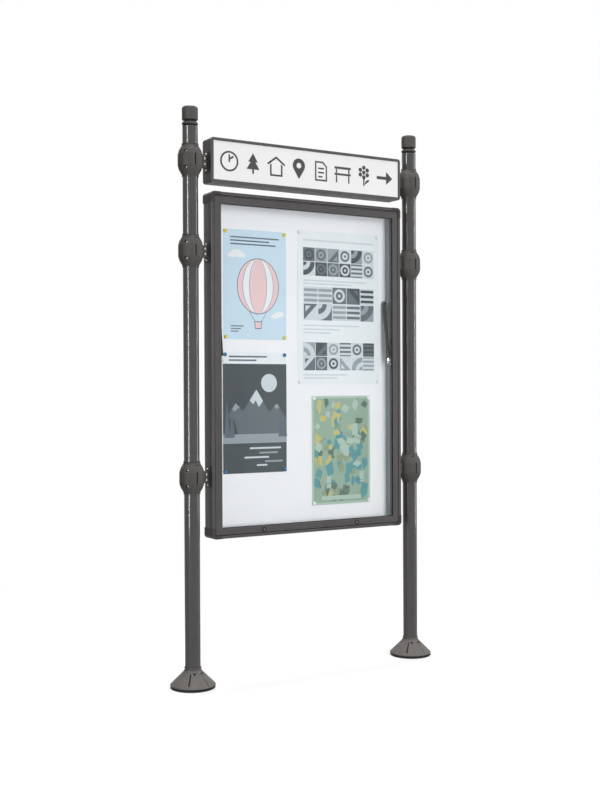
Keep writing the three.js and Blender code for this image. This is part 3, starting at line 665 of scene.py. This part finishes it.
def make_clamp_bolts(side, sign, place):
    """The bolts through a collar's cheeks and the screws in its bracket's plate."""
    centre = collar_middle(side, place)
    low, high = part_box(f"bracket_{side}_{place}")
    plate_x = high[0] - 4 * MM if sign < 0 else low[0] + 4 * MM
    out = FRONT * (CHEEK_FAR + 0.1) * MM
    tags = [(up, f"{side}_{place}_{'up' if up > 0 else 'low'}") for up in ENDS]
    for up, tag in tags:
        spot = centre + Vector((-sign * BOLT_OUT, 0, up * BOLT_LEVEL)) * MM
        dome_screw(f"clamp_bolt_{tag}", spot + out, FRONT, 6.4 * MM)
        hex_nut(f"clamp_nut_{tag}", spot - out, -FRONT, 6.6 * MM, 5 * MM, "bolt")
    for up, tag in tags:
        spot = (plate_x, 0, centre.z + up * 37 * MM)
        dome_screw(f"bracket_screw_{tag}", spot, (sign, 0, 0), 6.6 * MM)


# Case, header and door

# Words in a carried-over node's name, its material, and the width in mm and segments of its edges
DRESS = (
    ("header_rail", "frame", 0.8, 2), ("header_end", "frame", 0.8, 2),
    ("case_corner", "moulded", 1.4, 3), ("bracket_", "frame", 0.7, 2),
    ("cylinder", "strut", 0.5, 2), ("_rod", "chrome", 0.3, 2), ("case_bracket", "zinc", 0.4, 2),
    ("door_stud", "zinc", 0.4, 2), ("lock_", "lock", 0.3, 2), ("header_panel", "sign", 0.3, 2),
    ("back_panel", "enamel", 0.2, 2), ("door_glass", "glass", 0.3, 2),
    ("hinge_", "frame", 0.2, 2))


def dress_nodes():
    """Gives the carried-over nodes their materials and soft edges."""
    for node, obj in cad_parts.items():
        for words, material, width, segments in DRESS:
            if words in node:
                obj.data.materials.clear()
                obj.data.materials.append(MAT[material])
                obj.modifiers.new("weld", "WELD").merge_threshold = 0.02 * MM
                soften(obj, width * MM, segments)


def outer_frame(*nodes):
    """The rectangle in x and z that some nodes fill together, and their span in y in mm."""
    lows, highs = zip(*(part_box(node) for node in nodes))
    low, high = [min(v) for v in zip(*lows)], [max(v) for v in zip(*highs)]
    return (low[0], high[0], low[2], high[2]), (low[1] / MM, high[1] / MM)


def profile_rail(name, place, section, outer, trim, mitred):
    """A section of (inset, depth) points, in mm, run along one side of a rectangle."""
    x0, x1, z0, z1 = outer
    sections = []
    for end in (0, 1):
        points = []
        for inset, depth in mm(*section):
            back = trim * MM + (inset if mitred else 0)
            along_x = x1 - back if end else x0 + back
            along_z = z1 - back if end else z0 + back
            x, z = {"left": (x0 + inset, along_z), "right": (x1 - inset, along_z),
                    "bottom": (along_x, z0 + inset), "top": (along_x, z1 - inset)}[place]
            points.append((x, depth, z))
        sections.append(points)
    return swept(name, sections)


def ribbed_front(inset0, inset1, depth, grooves):
    """The front of a section from one inset to another, with fine grooves run into it."""
    wide, deep = 2.2, 0.9
    points = [(inset0, depth)]
    for groove in grooves:
        points += [(groove - wide / 2, depth), (groove - wide / 4, depth + deep),
                   (groove + wide / 4, depth + deep), (groove + wide / 2, depth)]
    return points + [(inset1, depth)]


RAIL_EDGE = 0.8
LOCK_FROM_TOP = 18 * MM


def make_case_rails():
    """Hollow rails with a lip, a step and a groove for the back panel, in mm."""
    _, (front, rear) = outer_frame("case_rail_left", "case_rail_right")
    outer, _ = outer_frame(*(f"case_rail_{place}" for place in RAILS))
    lip, body, step, wall, leg = 15, 40, -8, 2.5, 52.3
    grip, grip_front, grip_rear = 29.7, 37.7, 39.8  # the back panel's groove
    line_y, line, line_deep = front + 22, 1.1, 1.4  # the fine groove in the side
    section = ribbed_front(1.4, lip - RAIL_EDGE, front, (6,)) + [
        (lip, front + RAIL_EDGE), (lip, step), (body, step), (body, grip_front),
        (grip, grip_front), (grip, grip_rear), (body, grip_rear), (body, rear), (9, rear),
        (4, rear - 1.2), (1.2, rear - 4), (0, rear - 9), (0, line_y + line),
        (line_deep, line_y + line / 2), (line_deep, line_y - line / 2), (0, line_y - line),
        (0, front + 1.4)]
    hollow = [
        (wall, front + wall), (lip - wall, front + wall), (lip - wall, step + wall),
        (body - wall, step + wall), (body - wall, grip_front - wall),
        (grip - wall, grip_front - wall), (grip - wall, rear - wall), (8, rear - wall),
        (wall, rear - 8)]
    for place in RAILS:
        rail = profile_rail(f"case_profile_{place}", place, section, outer, leg, False)
        tools = [profile_rail("hollow_tool", place, hollow, outer, leg - 1, False)]
        if place == "bottom":
            for side, _ in SIDES:
                below = Vector((middle(f"lock_{side}").x, step * MM, outer[2]))
                barrel = slab(below, (-9.9, 9.9), (-5, 8), (22.1, 45))
                cam = slab(below, (-19.4, 19.4), (wall, wall + 23), (35, 45))
                tools += [barrel, cam]
        finish(cut(rail, tools), "frame", (f"case_rail_{place}",), sharp=20)


def make_door_rails():
    """Mitred rails with a groove for the glass, in mm."""
    outer, (front, rear) = outer_frame(*(f"door_rail_{place}" for place in RAILS))
    _, (glass_front, glass_rear) = outer_frame("door_glass")
    rail, bite, edge, play = 33, 8.3, 1, 0.3
    section = ribbed_front(edge, rail - RAIL_EDGE, front, (6.5, 15, 23.5)) + [
        (rail, front + RAIL_EDGE), (rail, glass_front - play), (rail - bite, glass_front - play),
        (rail - bite, glass_rear + play), (rail, glass_rear + play), (rail, rear), (0, rear),
        (0, front + edge)]
    for place in RAILS:
        piece = profile_rail(f"door_profile_{place}", place, section, outer, 0.15, True)
        if place == "bottom":
            bores = []
            for side, _ in SIDES:
                lock = f"lock_{side}"
                spot = (middle(lock).x, (front - 5) * MM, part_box(lock)[1][2] - LOCK_FROM_TOP)
                bores.append(rod("bore_tool", 8.85 * MM, 60 * MM, aimed(spot, -FRONT), 40))
            cut(piece, bores)
        finish(piece, "frame", (f"door_rail_{place}",), "door", sharp=20)


def make_lock_ring(side):
    """Dark ring round the keyway of a lock."""
    low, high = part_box(f"lock_{side}")
    head = half_width(f"lock_{side}") / MM
    centre = (middle(f"lock_{side}").x, low[1] + 0.1 * MM, high[2] - LOCK_FROM_TOP)
    profile = mm((head * 0.5, 0), (head * 1.02, 0), (head * 1.02, 0.5), (head * 0.94, 1),
                 (head * 0.55, 1), (head * 0.5, 0.6))
    ring = lathe(f"lock_ring_{side}", profile, aimed(centre, FRONT), 40)
    finish(ring, "strut", body=f"lock_{side}")


def make_hinge_cap(side, sign):
    """Round plug on the pin's axis that fills the gap beside the last knuckle."""
    gap, radius = 0.5 * MM, 3.6 * MM
    start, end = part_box("hinge_pin")[1][0] + gap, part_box("door_rail_right")[1][0] - gap
    _, y, z = middle("hinge_pin")
    cap = rod(f"hinge_cap_{side}", radius, end - start,
              aimed((sign * start, y, z), (sign, 0, 0)), 24)
    finish(cap, "frame")


def make_seals():
    """The glass's two gaskets, rings round the middle of the door."""
    low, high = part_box("door_glass")
    edge = -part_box("door_rail_left")[1][0]
    bite = high[0] - edge
    x, z0, z1 = edge - 0.1 * MM, low[2] + bite + 0.1 * MM, high[2] - bite - 0.1 * MM
    lip, over = 2.6 * MM, 1 * MM
    for name, y0, y1 in (("rear", high[1] + SKIN, high[1] + 3 * MM),
                         ("front", low[1] - 1.5 * MM, low[1] - SKIN)):
        ring = block(f"glazing_gasket_{name}", (-x, y0, z0), (x, y1, z1))
        hole = block("hole_tool", (lip - x, y0 - over, z0 + lip), (x - lip, y1 + over, z1 - lip))
        finish(cut(ring, [hole]), "rubber", (), "door", bevel=0.4 * MM)


# Header film: a row of plain pictograms

def film(name, outline, x, z=0, holes=()):
    """A piece of cut film on the header, from an outline in mm about (x, z)."""
    low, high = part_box("header_panel_front")
    start = Vector((x * MM, low[1] - SKIN, (low[2] + high[2]) / 2 + z * MM))
    matrix = Matrix.Translation(start) @ Matrix.Rotation(pi / 2, 4, "X")
    below = matrix @ Matrix.Translation((0, 0, -1 * MM))
    piece = prism(f"film_{name}", mm(*outline), matrix, 0.5 * MM)
    for hole in holes:
        cut(piece, [prism("hole_tool", mm(*hole), below, 3 * MM)])
    finish(piece, "film")


def make_header_film():
    """Clock, tree, shelter, map pin, notice, bench, flower and arrow."""
    clock, tree, shelter, pin, notice, bench, flower, arrow = (-462 + i * 132 for i in range(8))
    film("clock", disc(50), clock, holes=[disc(41)])
    film("clock_hands", [(-4, -5), (4, -5), (4, 8), (25, 20), (21, 28), (4, 18), (4, 33),
                         (-4, 33)], clock)
    film("tree", [(0, 52), (27, 8), (14, 8), (36, -28), (5, -28), (5, -50), (-5, -50), (-5, -28),
                  (-36, -28), (-14, 8), (-27, 8)], tree)
    film("shelter_roof", [(0, 50), (52, 12), (46, 5), (0, 38), (-46, 5), (-52, 12)], shelter)
    film("shelter_walls", [(-36, -50), (36, -50), (36, 6), (27, 12), (27, -41), (-27, -41),
                           (-27, 12), (-36, 6)], shelter)
    turns = [radians(-32 + i * 8) for i in range(31)]
    bulb = [(36 * cos(a), 16 + 36 * sin(a)) for a in turns]
    film("pin", bulb + [(0, -52)], pin, holes=[disc(14, 32, 0, 16)])
    film("notice", [(-36, -50), (36, -50), (36, 26), (12, 50), (-36, 50)], notice,
         holes=[[(-28, -42), (28, -42), (28, 23), (9, 42), (-28, 42)]])
    for i, end in enumerate((18, 18, 8)):
        film(f"notice_line_{i}", rectangle(-18, end, -4, 4), notice, 14 - 21 * i)
    film("bench_seat", rectangle(-50, 50, -10, 0), bench)
    film("bench_back", rectangle(-50, 50, 22, 34), bench)
    for i, x in enumerate((-38, 38)):
        film(f"bench_leg_{i}", rectangle(x - 4, x + 4, -48, -11), bench)
        film(f"bench_post_{i}", rectangle(x - 4, x + 4, 1, 21), bench)
    for i in range(6):
        angle = pi / 6 + i * pi / 3
        petal = disc(11, 24, 25 * cos(angle), 18 + 25 * sin(angle))
        film(f"flower_petal_{i}", petal, flower)
    film("flower_heart", disc(11, 24, 0, 18), flower)
    film("flower_stem", rectangle(-4, 4, -52, -10), flower)
    film("flower_leaf", [(6, -46), (32, -26), (34, -18), (20, -20), (6, -34)], flower)
    film("arrow", [(-50, -8), (10, -8), (10, -34), (50, 0), (10, 34), (10, 8), (-50, 8)], arrow)


# Papers and magnets. Their sizes and places are in mm.

INKS = {
    "sky": (0.56, 0.7, 0.82), "white": (0.8, 0.82, 0.845), "charcoal": (0.036, 0.046, 0.052),
    "slate": (0.1, 0.122, 0.14), "ash": (0.28, 0.32, 0.35), "pale": (0.6, 0.65, 0.69),
    "rose": (0.8, 0.56, 0.58), "line": (0.09, 0.11, 0.15), "olive": (0.24, 0.31, 0.19),
    "sage": (0.27, 0.38, 0.3), "teal": (0.08, 0.28, 0.31), "ochre": (0.5, 0.46, 0.17),
    "moss": (0.09, 0.15, 0.11), "mint": (0.4, 0.52, 0.44)}
for ink_name, ink_colour in INKS.items():
    plain(ink_name, ink_colour, 0.55, 0.02, 12.0, 0.05)

PANEL_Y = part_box("back_panel")[0][1]
PAPER = 0.25 * MM
INK_STEP = 0.12 * MM
MAGNET_INSET = 12


class Sheet:
    """A paper sheet held to the back panel. Its shapes are placed from its lower left corner."""

    def __init__(self, name, x0, x1, z0, z1, ink):
        self.name, self.x0, self.z0 = name, x0, z0
        self.width, self.height = x1 - x0, z1 - z0
        self.parts = {}
        paper = self.solid(f"sheet_{name}", rectangle(0, self.width, 0, self.height), 0, PAPER)
        finish(paper, ink)

    def point(self, u, v, level):
        """A point on the paper, which stands off the panel a little between its corners."""
        shares = (u / self.width, v / self.height)
        across, up = (sin(pi * max(0, min(1, share))) for share in shares)
        off = (0.1 + 1.6 * up + 0.9 * across) * MM
        return Vector(((self.x0 + u) * MM, PANEL_Y - off - level, (self.z0 + v) * MM))

    def solid(self, name, outline, low, high):
        """A shape between two levels, cut along a grid so that it follows the paper's bow."""
        tool = bmesh.new()
        tool.faces.new([tool.verts.new((u, v, 0)) for u, v in outline])
        for axis, (length, cells) in enumerate(((self.width, 10), (self.height, 16))):
            for i in range(1, cells):
                spot, normal = [0, 0, 0], [0, 0, 0]
                spot[axis], normal[axis] = length * i / cells, 1
                geometry = [*tool.verts, *tool.edges, *tool.faces]
                bmesh.ops.bisect_plane(tool, geom=geometry, plane_co=spot, plane_no=normal)
        raised = bmesh.ops.extrude_face_region(tool, geom=list(tool.faces))
        top = {v for v in raised["geom"] if isinstance(v, bmesh.types.BMVert)}
        for vert in tool.verts:
            vert.co = self.point(vert.co.x, vert.co.y, high if vert in top else low)
        bmesh.ops.recalc_face_normals(tool, faces=tool.faces)
        data = bpy.data.meshes.new(name)
        tool.to_mesh(data)
        tool.free()
        return add_object(name, data)

    def ink(self, ink, outline, level=1):
        """One printed shape. A higher level covers a lower one."""
        shape = self.solid("print", outline, PAPER - 0.02 * MM, PAPER + level * INK_STEP)
        self.parts.setdefault(ink, []).append(shape)

    def bar(self, ink, x0, x1, y0, y1, level=1):
        self.ink(ink, rectangle(x0, x1, y0, y1), level)

    def hang(self, colour):
        """Joins the shapes of each ink into one piece and sets a magnet at each corner."""
        for ink, parts in self.parts.items():
            piece = joined(f"print_{self.name}_{ink}", parts)
            finish(piece, ink)
        for end, v in (("low", MAGNET_INSET), ("high", self.height - MAGNET_INSET)):
            for side, u in (("left", MAGNET_INSET), ("right", self.width - MAGNET_INSET)):
                magnet(f"magnet_{self.name}_{end}_{side}", self.x0 + u, self.z0 + v, colour)


def magnet(name, x, z, colour):
    start = (x * MM, PANEL_Y - 2.6 * MM, z * MM)
    outline = rounded([(0, -2.3), (8.55, -2.3), (8.55, 0), (9.5, 0.4), (9.5, 4.9), (7.41, 7),
                       (5.7, 6.2), (0, 6)], 1.2, 3)
    finish(lathe(name, mm(*outline), aimed(start, FRONT), 32), f"magnet_{colour}",
           sharp=50)


def balloon_sheet():
    """Pale blue, with a striped balloon and rows of dark bars above it."""
    sheet = Sheet("balloon", -458, -98, 1692, 2240, "sky")
    for i, end in enumerate((318, 262, 300)):
        sheet.bar("line", 40, end, 506 - 17 * i, 513 - 17 * i)
    x, y, wide, tall = 196, 268, 118, 138
    sheet.ink("line", ellipse(wide + 2.5, tall + 2.5, x, y, 48))
    for i, (share, ink) in enumerate(((1, "rose"), (0.74, "white"), (0.42, "rose"))):
        sheet.ink("line", ellipse(wide * share + 1.2, tall, x, y, 48), 2 + 2 * i)
        sheet.ink(ink, ellipse(wide * share - 1, tall - 0.8, x, y, 48), 3 + 2 * i)
    for end in ENDS:
        sheet.ink("line", [(x + end * 56, y - 116), (x + end * 59, y - 116), (x + end * 20, 92),
                           (x + end * 17, 92)])
    sheet.ink("line", [(x - 22, 92), (x - 18, 54), (x + 18, 54), (x + 22, 92)], 2)
    sheet.ink("rose", [(x - 18, 88), (x - 15, 58), (x + 15, 58), (x + 18, 88)], 3)
    for cloud_x, cloud_y, size in ((52, 420, 26), (74, 432, 32), (100, 420, 26), (296, 120, 24),
                                   (318, 130, 28)):
        sheet.ink("white", ellipse(size, size * 0.5, cloud_x, cloud_y, 24))
    for i in range(3):
        sheet.bar("line", 40, 112 - 14 * i, 64 - 13 * i, 69 - 13 * i)
    sheet.hang("yellow")


def mountain_sheet():
    """Dark grey tones: a moon over two ranges and a lake, under a white band."""
    sheet = Sheet("mountain", -463, -99, 1022, 1628, "charcoal")
    sheet.bar("white", 0, 364, 548, 606)
    for i, end in enumerate((250, 190)):
        sheet.bar("line", 34, end, 580 - 18 * i, 588 - 18 * i, 2)
    sheet.ink("pale", ellipse(46, 46, 262, 452))
    sheet.ink("slate", [(0, 250), (70, 352), (112, 312), (188, 420), (262, 306), (306, 348),
                        (364, 268), (364, 190), (0, 190)])
    sheet.ink("pale", [(188, 419), (150, 365), (170, 345), (184, 366), (202, 330), (226, 362)], 2)
    sheet.ink("ash", [(70, 351), (50, 322), (66, 310), (78, 324), (94, 330)], 2)
    sheet.ink("ash", [(306, 347), (290, 332), (304, 318), (322, 330)], 2)
    sheet.bar("ash", 0, 364, 150, 196, 3)
    for i, (start, end, low) in enumerate(((150, 330, 120), (204, 312, 96), (120, 260, 74),
                                           (236, 340, 52), (190, 250, 34))):
        sheet.bar("ash" if i % 2 else "pale", start, end, low, low + 9, 3)
    sheet.ink("charcoal", [(0, 196), (0, 280), (26, 300), (44, 262), (60, 272), (84, 196)], 4)
    for x, high in ((22, 372), (50, 330), (330, 312), (352, 290)):
        sheet.ink("line", [(x - 15, 180), (x + 15, 180), (x, high)], 5)
    sheet.hang("blue")


def tile_sheet():
    """White, with three bands of grey geometric tiles and faint bars between them."""
    sheet = Sheet("tile", -30, 478, 1468, 2262, "white")
    pick = random.Random(5)
    rows, gap = 2, 1.5
    for low, size, count in ((560, 74, 6), (330, 88, 5), (70, 74, 6)):
        start = (sheet.width - count * size) / 2
        for row in range(rows):
            for column in range(count):
                x, y = start + column * size, low + row * size
                base, top = pick.sample(("slate", "ash", "pale", "charcoal"), 2)
                sheet.bar(base, x + gap, x + size - gap, y + gap, y + size - gap)
                corner = pick.randrange(4)
                kind = pick.choice(("quarter", "ring", "wedge", "stripes"))
                tile_motif(sheet, kind, top, base, x, y, size, corner)
    for end, low in ((430, 532), (330, 516), (380, 300), (260, 280), (200, 262), (470, 740),
                     (300, 44), (240, 28)):
        sheet.bar("pale", 34, end, low, low + 8)
    sheet.hang("white")


def tile_motif(sheet, kind, top, base, x, y, size, corner):
    inset = 2.5
    size, x, y = size - 2 * inset, x + inset, y + inset

    def place(u, v):
        """A point of the tile from shares of its size, counted from the motif's corner."""
        return x + size * (1 - u if corner % 2 else u), y + size * (1 - v if corner // 2 else v)

    if kind == "quarter":
        for level, ink, share in ((2, top, 1), (3, base, 0.62), (4, top, 0.3)):
            arc = disc(share, 48)[:13]
            sheet.ink(ink, [place(u, v) for u, v in [(0, 0)] + arc], level)
    elif kind == "ring":
        rings = ((2, top, 0.42, 28), (3, base, 0.26, 28), (4, top, 0.1, 20))
        for level, ink, share, steps in rings:
            sheet.ink(ink, disc(size * share, steps, x + size / 2, y + size / 2), level)
    elif kind == "wedge":
        sheet.ink(top, [place(0, 0), place(1, 0), place(0, 1)], 2)
        sheet.ink(base, [place(0.12, 0.12), place(0.5, 0.12), place(0.12, 0.5)], 3)
    else:
        for low, high in ((0.08, 0.25), (0.4, 0.57), (0.72, 0.89)):
            sheet.ink(top, [place(u, v) for u, v in rectangle(0, 1, low, high)], 2)


def field_sheet():
    """Fields seen from above: overlapping patches and furrows in olive, teal, sage and yellow."""
    sheet = Sheet("field", 52, 416, 838, 1406, "mint")
    sheet.bar("sage", 12, 352, 12, 556)
    pick = random.Random(9)
    inks = ("teal", "olive", "ochre", "moss", "sage", "teal", "mint")
    for i in range(110):
        x, y = pick.uniform(24, 340), pick.uniform(24, 545)
        wide, tall = pick.uniform(14, 34), pick.uniform(18, 52)
        lean = pick.uniform(-0.7, 0.7)
        points = []
        for k in range(4):
            angle = lean + pi / 4 + k * pi / 2
            u = wide * cos(angle) * pick.uniform(0.75, 1.1)
            v = tall * sin(angle) * pick.uniform(0.75, 1.1)
            points.append((min(350, max(14, x + u)), min(554, max(14, y + v))))
        sheet.ink(inks[i % 7], points, 2 + i % 7)
    for i in range(26):
        x, y = pick.uniform(30, 300), pick.uniform(30, 500)
        run, rise = pick.uniform(20, 60), pick.uniform(-30, 40)
        end, wide = min(350, x + run), 2.5
        sheet.ink("olive" if i % 3 else "line",
                  [(x, y), (end, y + rise), (end, y + rise + wide), (x, y + wide)], 9)
    sheet.bar("mint", 60, 304, 24, 46, 10)
    sheet.hang("white")


def make_lining():
    """Thin plain lining on the four inner walls of the case."""
    low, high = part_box("back_panel")
    grip, thin, front, past_locks = mm(10.3, 0.3, -7.5, 20)
    rear = PANEL_Y - 0.2 * MM
    x0, x1, z0, z1 = low[0] + grip, high[0] - grip, low[2] + grip, high[2] - grip
    walls = {
        "left": ((x0, front, z0), (x0 + thin, rear, z1)),
        "right": ((x1 - thin, front, z0), (x1, rear, z1)),
        "bottom": ((x0 + thin, past_locks, z0), (x1 - thin, rear, z0 + thin)),
        "top": ((x0 + thin, front, z1 - thin), (x1 - thin, rear, z1))}
    for wall, (near, far) in walls.items():
        finish(block(f"inner_lining_{wall}", near, far), "lining")


# Light, floor and camera

WORLD_LIGHT = 0.36
FLOOR_BOUNCE, FLOOR_SEEN = 0.12, 0.86
FLOOR_SIZE, FLOOR_DROP = 60, 0.5 * MM


def seen_rays(tree):
    """1 for rays that show the backdrop: straight from the camera, mirrored, or through glass."""
    path = tree.nodes.new("ShaderNodeLightPath").outputs
    direct = maths(tree, "MAXIMUM", path["Is Camera Ray"], path["Is Glossy Ray"])
    return maths(tree, "MAXIMUM", direct, path["Is Transmission Ray"])


def make_stage():
    """A pale floor that fades into the white backdrop away from the part."""
    corners = rectangle(-FLOOR_SIZE, FLOOR_SIZE, -FLOOR_SIZE, FLOOR_SIZE)
    floor = mesh_object("floor", [(x, y, 0) for x, y in corners], [(0, 1, 2, 3)])
    floor.location.z = -FLOOR_DROP
    tree, sockets = new_material("floor")
    sockets["Roughness"].default_value = 0.9
    seen = seen_rays(tree)
    feed(tree, sockets["Base Color"], mixed(tree, seen, (FLOOR_BOUNCE,) * 3, (FLOOR_SEEN,) * 3))
    length = tree.nodes.new("ShaderNodeVectorMath")
    length.operation = "LENGTH"
    feed(tree, length.inputs[0], tree.nodes.new("ShaderNodeTexCoord").outputs["Object"])
    fade = ranged(tree, length.outputs["Value"], 0.35, 1.0, 0.8, 3.2)
    glow = add(tree, "ShaderNodeEmission", Color=WHITE, Strength=1.0)
    floor_shader = tree.nodes["Principled BSDF"].outputs[0]
    feed(tree, tree.nodes["Material Output"].inputs["Surface"],
         blend(tree, maths(tree, "MULTIPLY", fade, seen), floor_shader, glow.outputs[0]))
    floor.data.materials.append(MAT["floor"])


def make_world():
    """White where it is seen, and dimmer as a light."""
    world = bpy.data.worlds.new("studio")
    bpy.context.scene.world = world
    world.use_nodes = True
    tree = world.node_tree
    back = tree.nodes["Background"].inputs
    back["Color"].default_value = WHITE
    feed(tree, back["Strength"], ranged(tree, seen_rays(tree), WORLD_LIGHT, 1.0, 0, 1))


def lamp(name, place, target, wide, power, tall=None):
    data = bpy.data.lights.new(name, "AREA")
    data.shape = "RECTANGLE"
    data.size, data.size_y = wide, tall or wide
    data.energy = power
    obj = add_object(name, data)
    obj.location = place
    obj.rotation_euler = (Vector(target) - Vector(place)).to_track_quat("-Z", "Y").to_euler()
    return obj


def streak(name, place, wide, power):
    """A tall strip that only glossy surfaces show, as a thin bright line along each post."""
    lamp(name, place, (-0.65, 0, 2.45), wide, power, 4.3).visible_diffuse = False


def make_lights():
    lamp("key", (0.9, -6.4, 3.6), (0, 0, 1.4), 2.4, 130).visible_glossy = False
    lamp("top", (0, 0.2, 10.0), (0, 0, 0), 4.0, 900)
    lamp("front", (-0.2, -6.5, 0.8), (0, 0, 1.6), 2.6, 250).visible_glossy = False
    lamp("back", (0.5, 5.0, 4.0), (0, 0, 1.6), 3.0, 80)
    streak("streak_left", (-4.26, -1.63, 2.45), 0.6, 420)
    streak("streak_right", (3.85, -1.4, 2.45), 0.3, 150)


def make_camera():
    data = bpy.data.cameras.new("camera")
    data.sensor_width = SENSOR_MM
    data.lens = FOCAL_PX / PHOTO_HEIGHT_PX * SENSOR_MM
    camera = add_object("camera", data)
    camera.matrix_world = (
        Matrix.Translation(CAMERA_PLACE) @ Matrix.Rotation(-CAMERA_YAW, 4, "Z")
        @ Matrix.Rotation(pi / 2 + CAMERA_PITCH, 4, "X")
        @ Matrix.Rotation(CAMERA_ROLL, 4, "Z"))
    bpy.context.scene.camera = camera


make_camera()
make_world()
make_lights()
make_stage()
dress_nodes()
make_seals()
for post_side, post_sign in SIDES:
    make_post(post_side)
    make_finial(post_side)
    make_foot(post_side, post_sign)
    for collar_place in COLLARS:
        make_collar(post_side, post_sign, collar_place)
        make_clamp_bolts(post_side, post_sign, collar_place)
    make_lock_ring(post_side)
    make_hinge_cap(post_side, post_sign)
make_header_film()
make_lining()
make_case_rails()
make_door_rails()
balloon_sheet()
mountain_sheet()
tile_sheet()
field_sheet()

bpy.context.scene.view_settings.view_transform = "Standard"
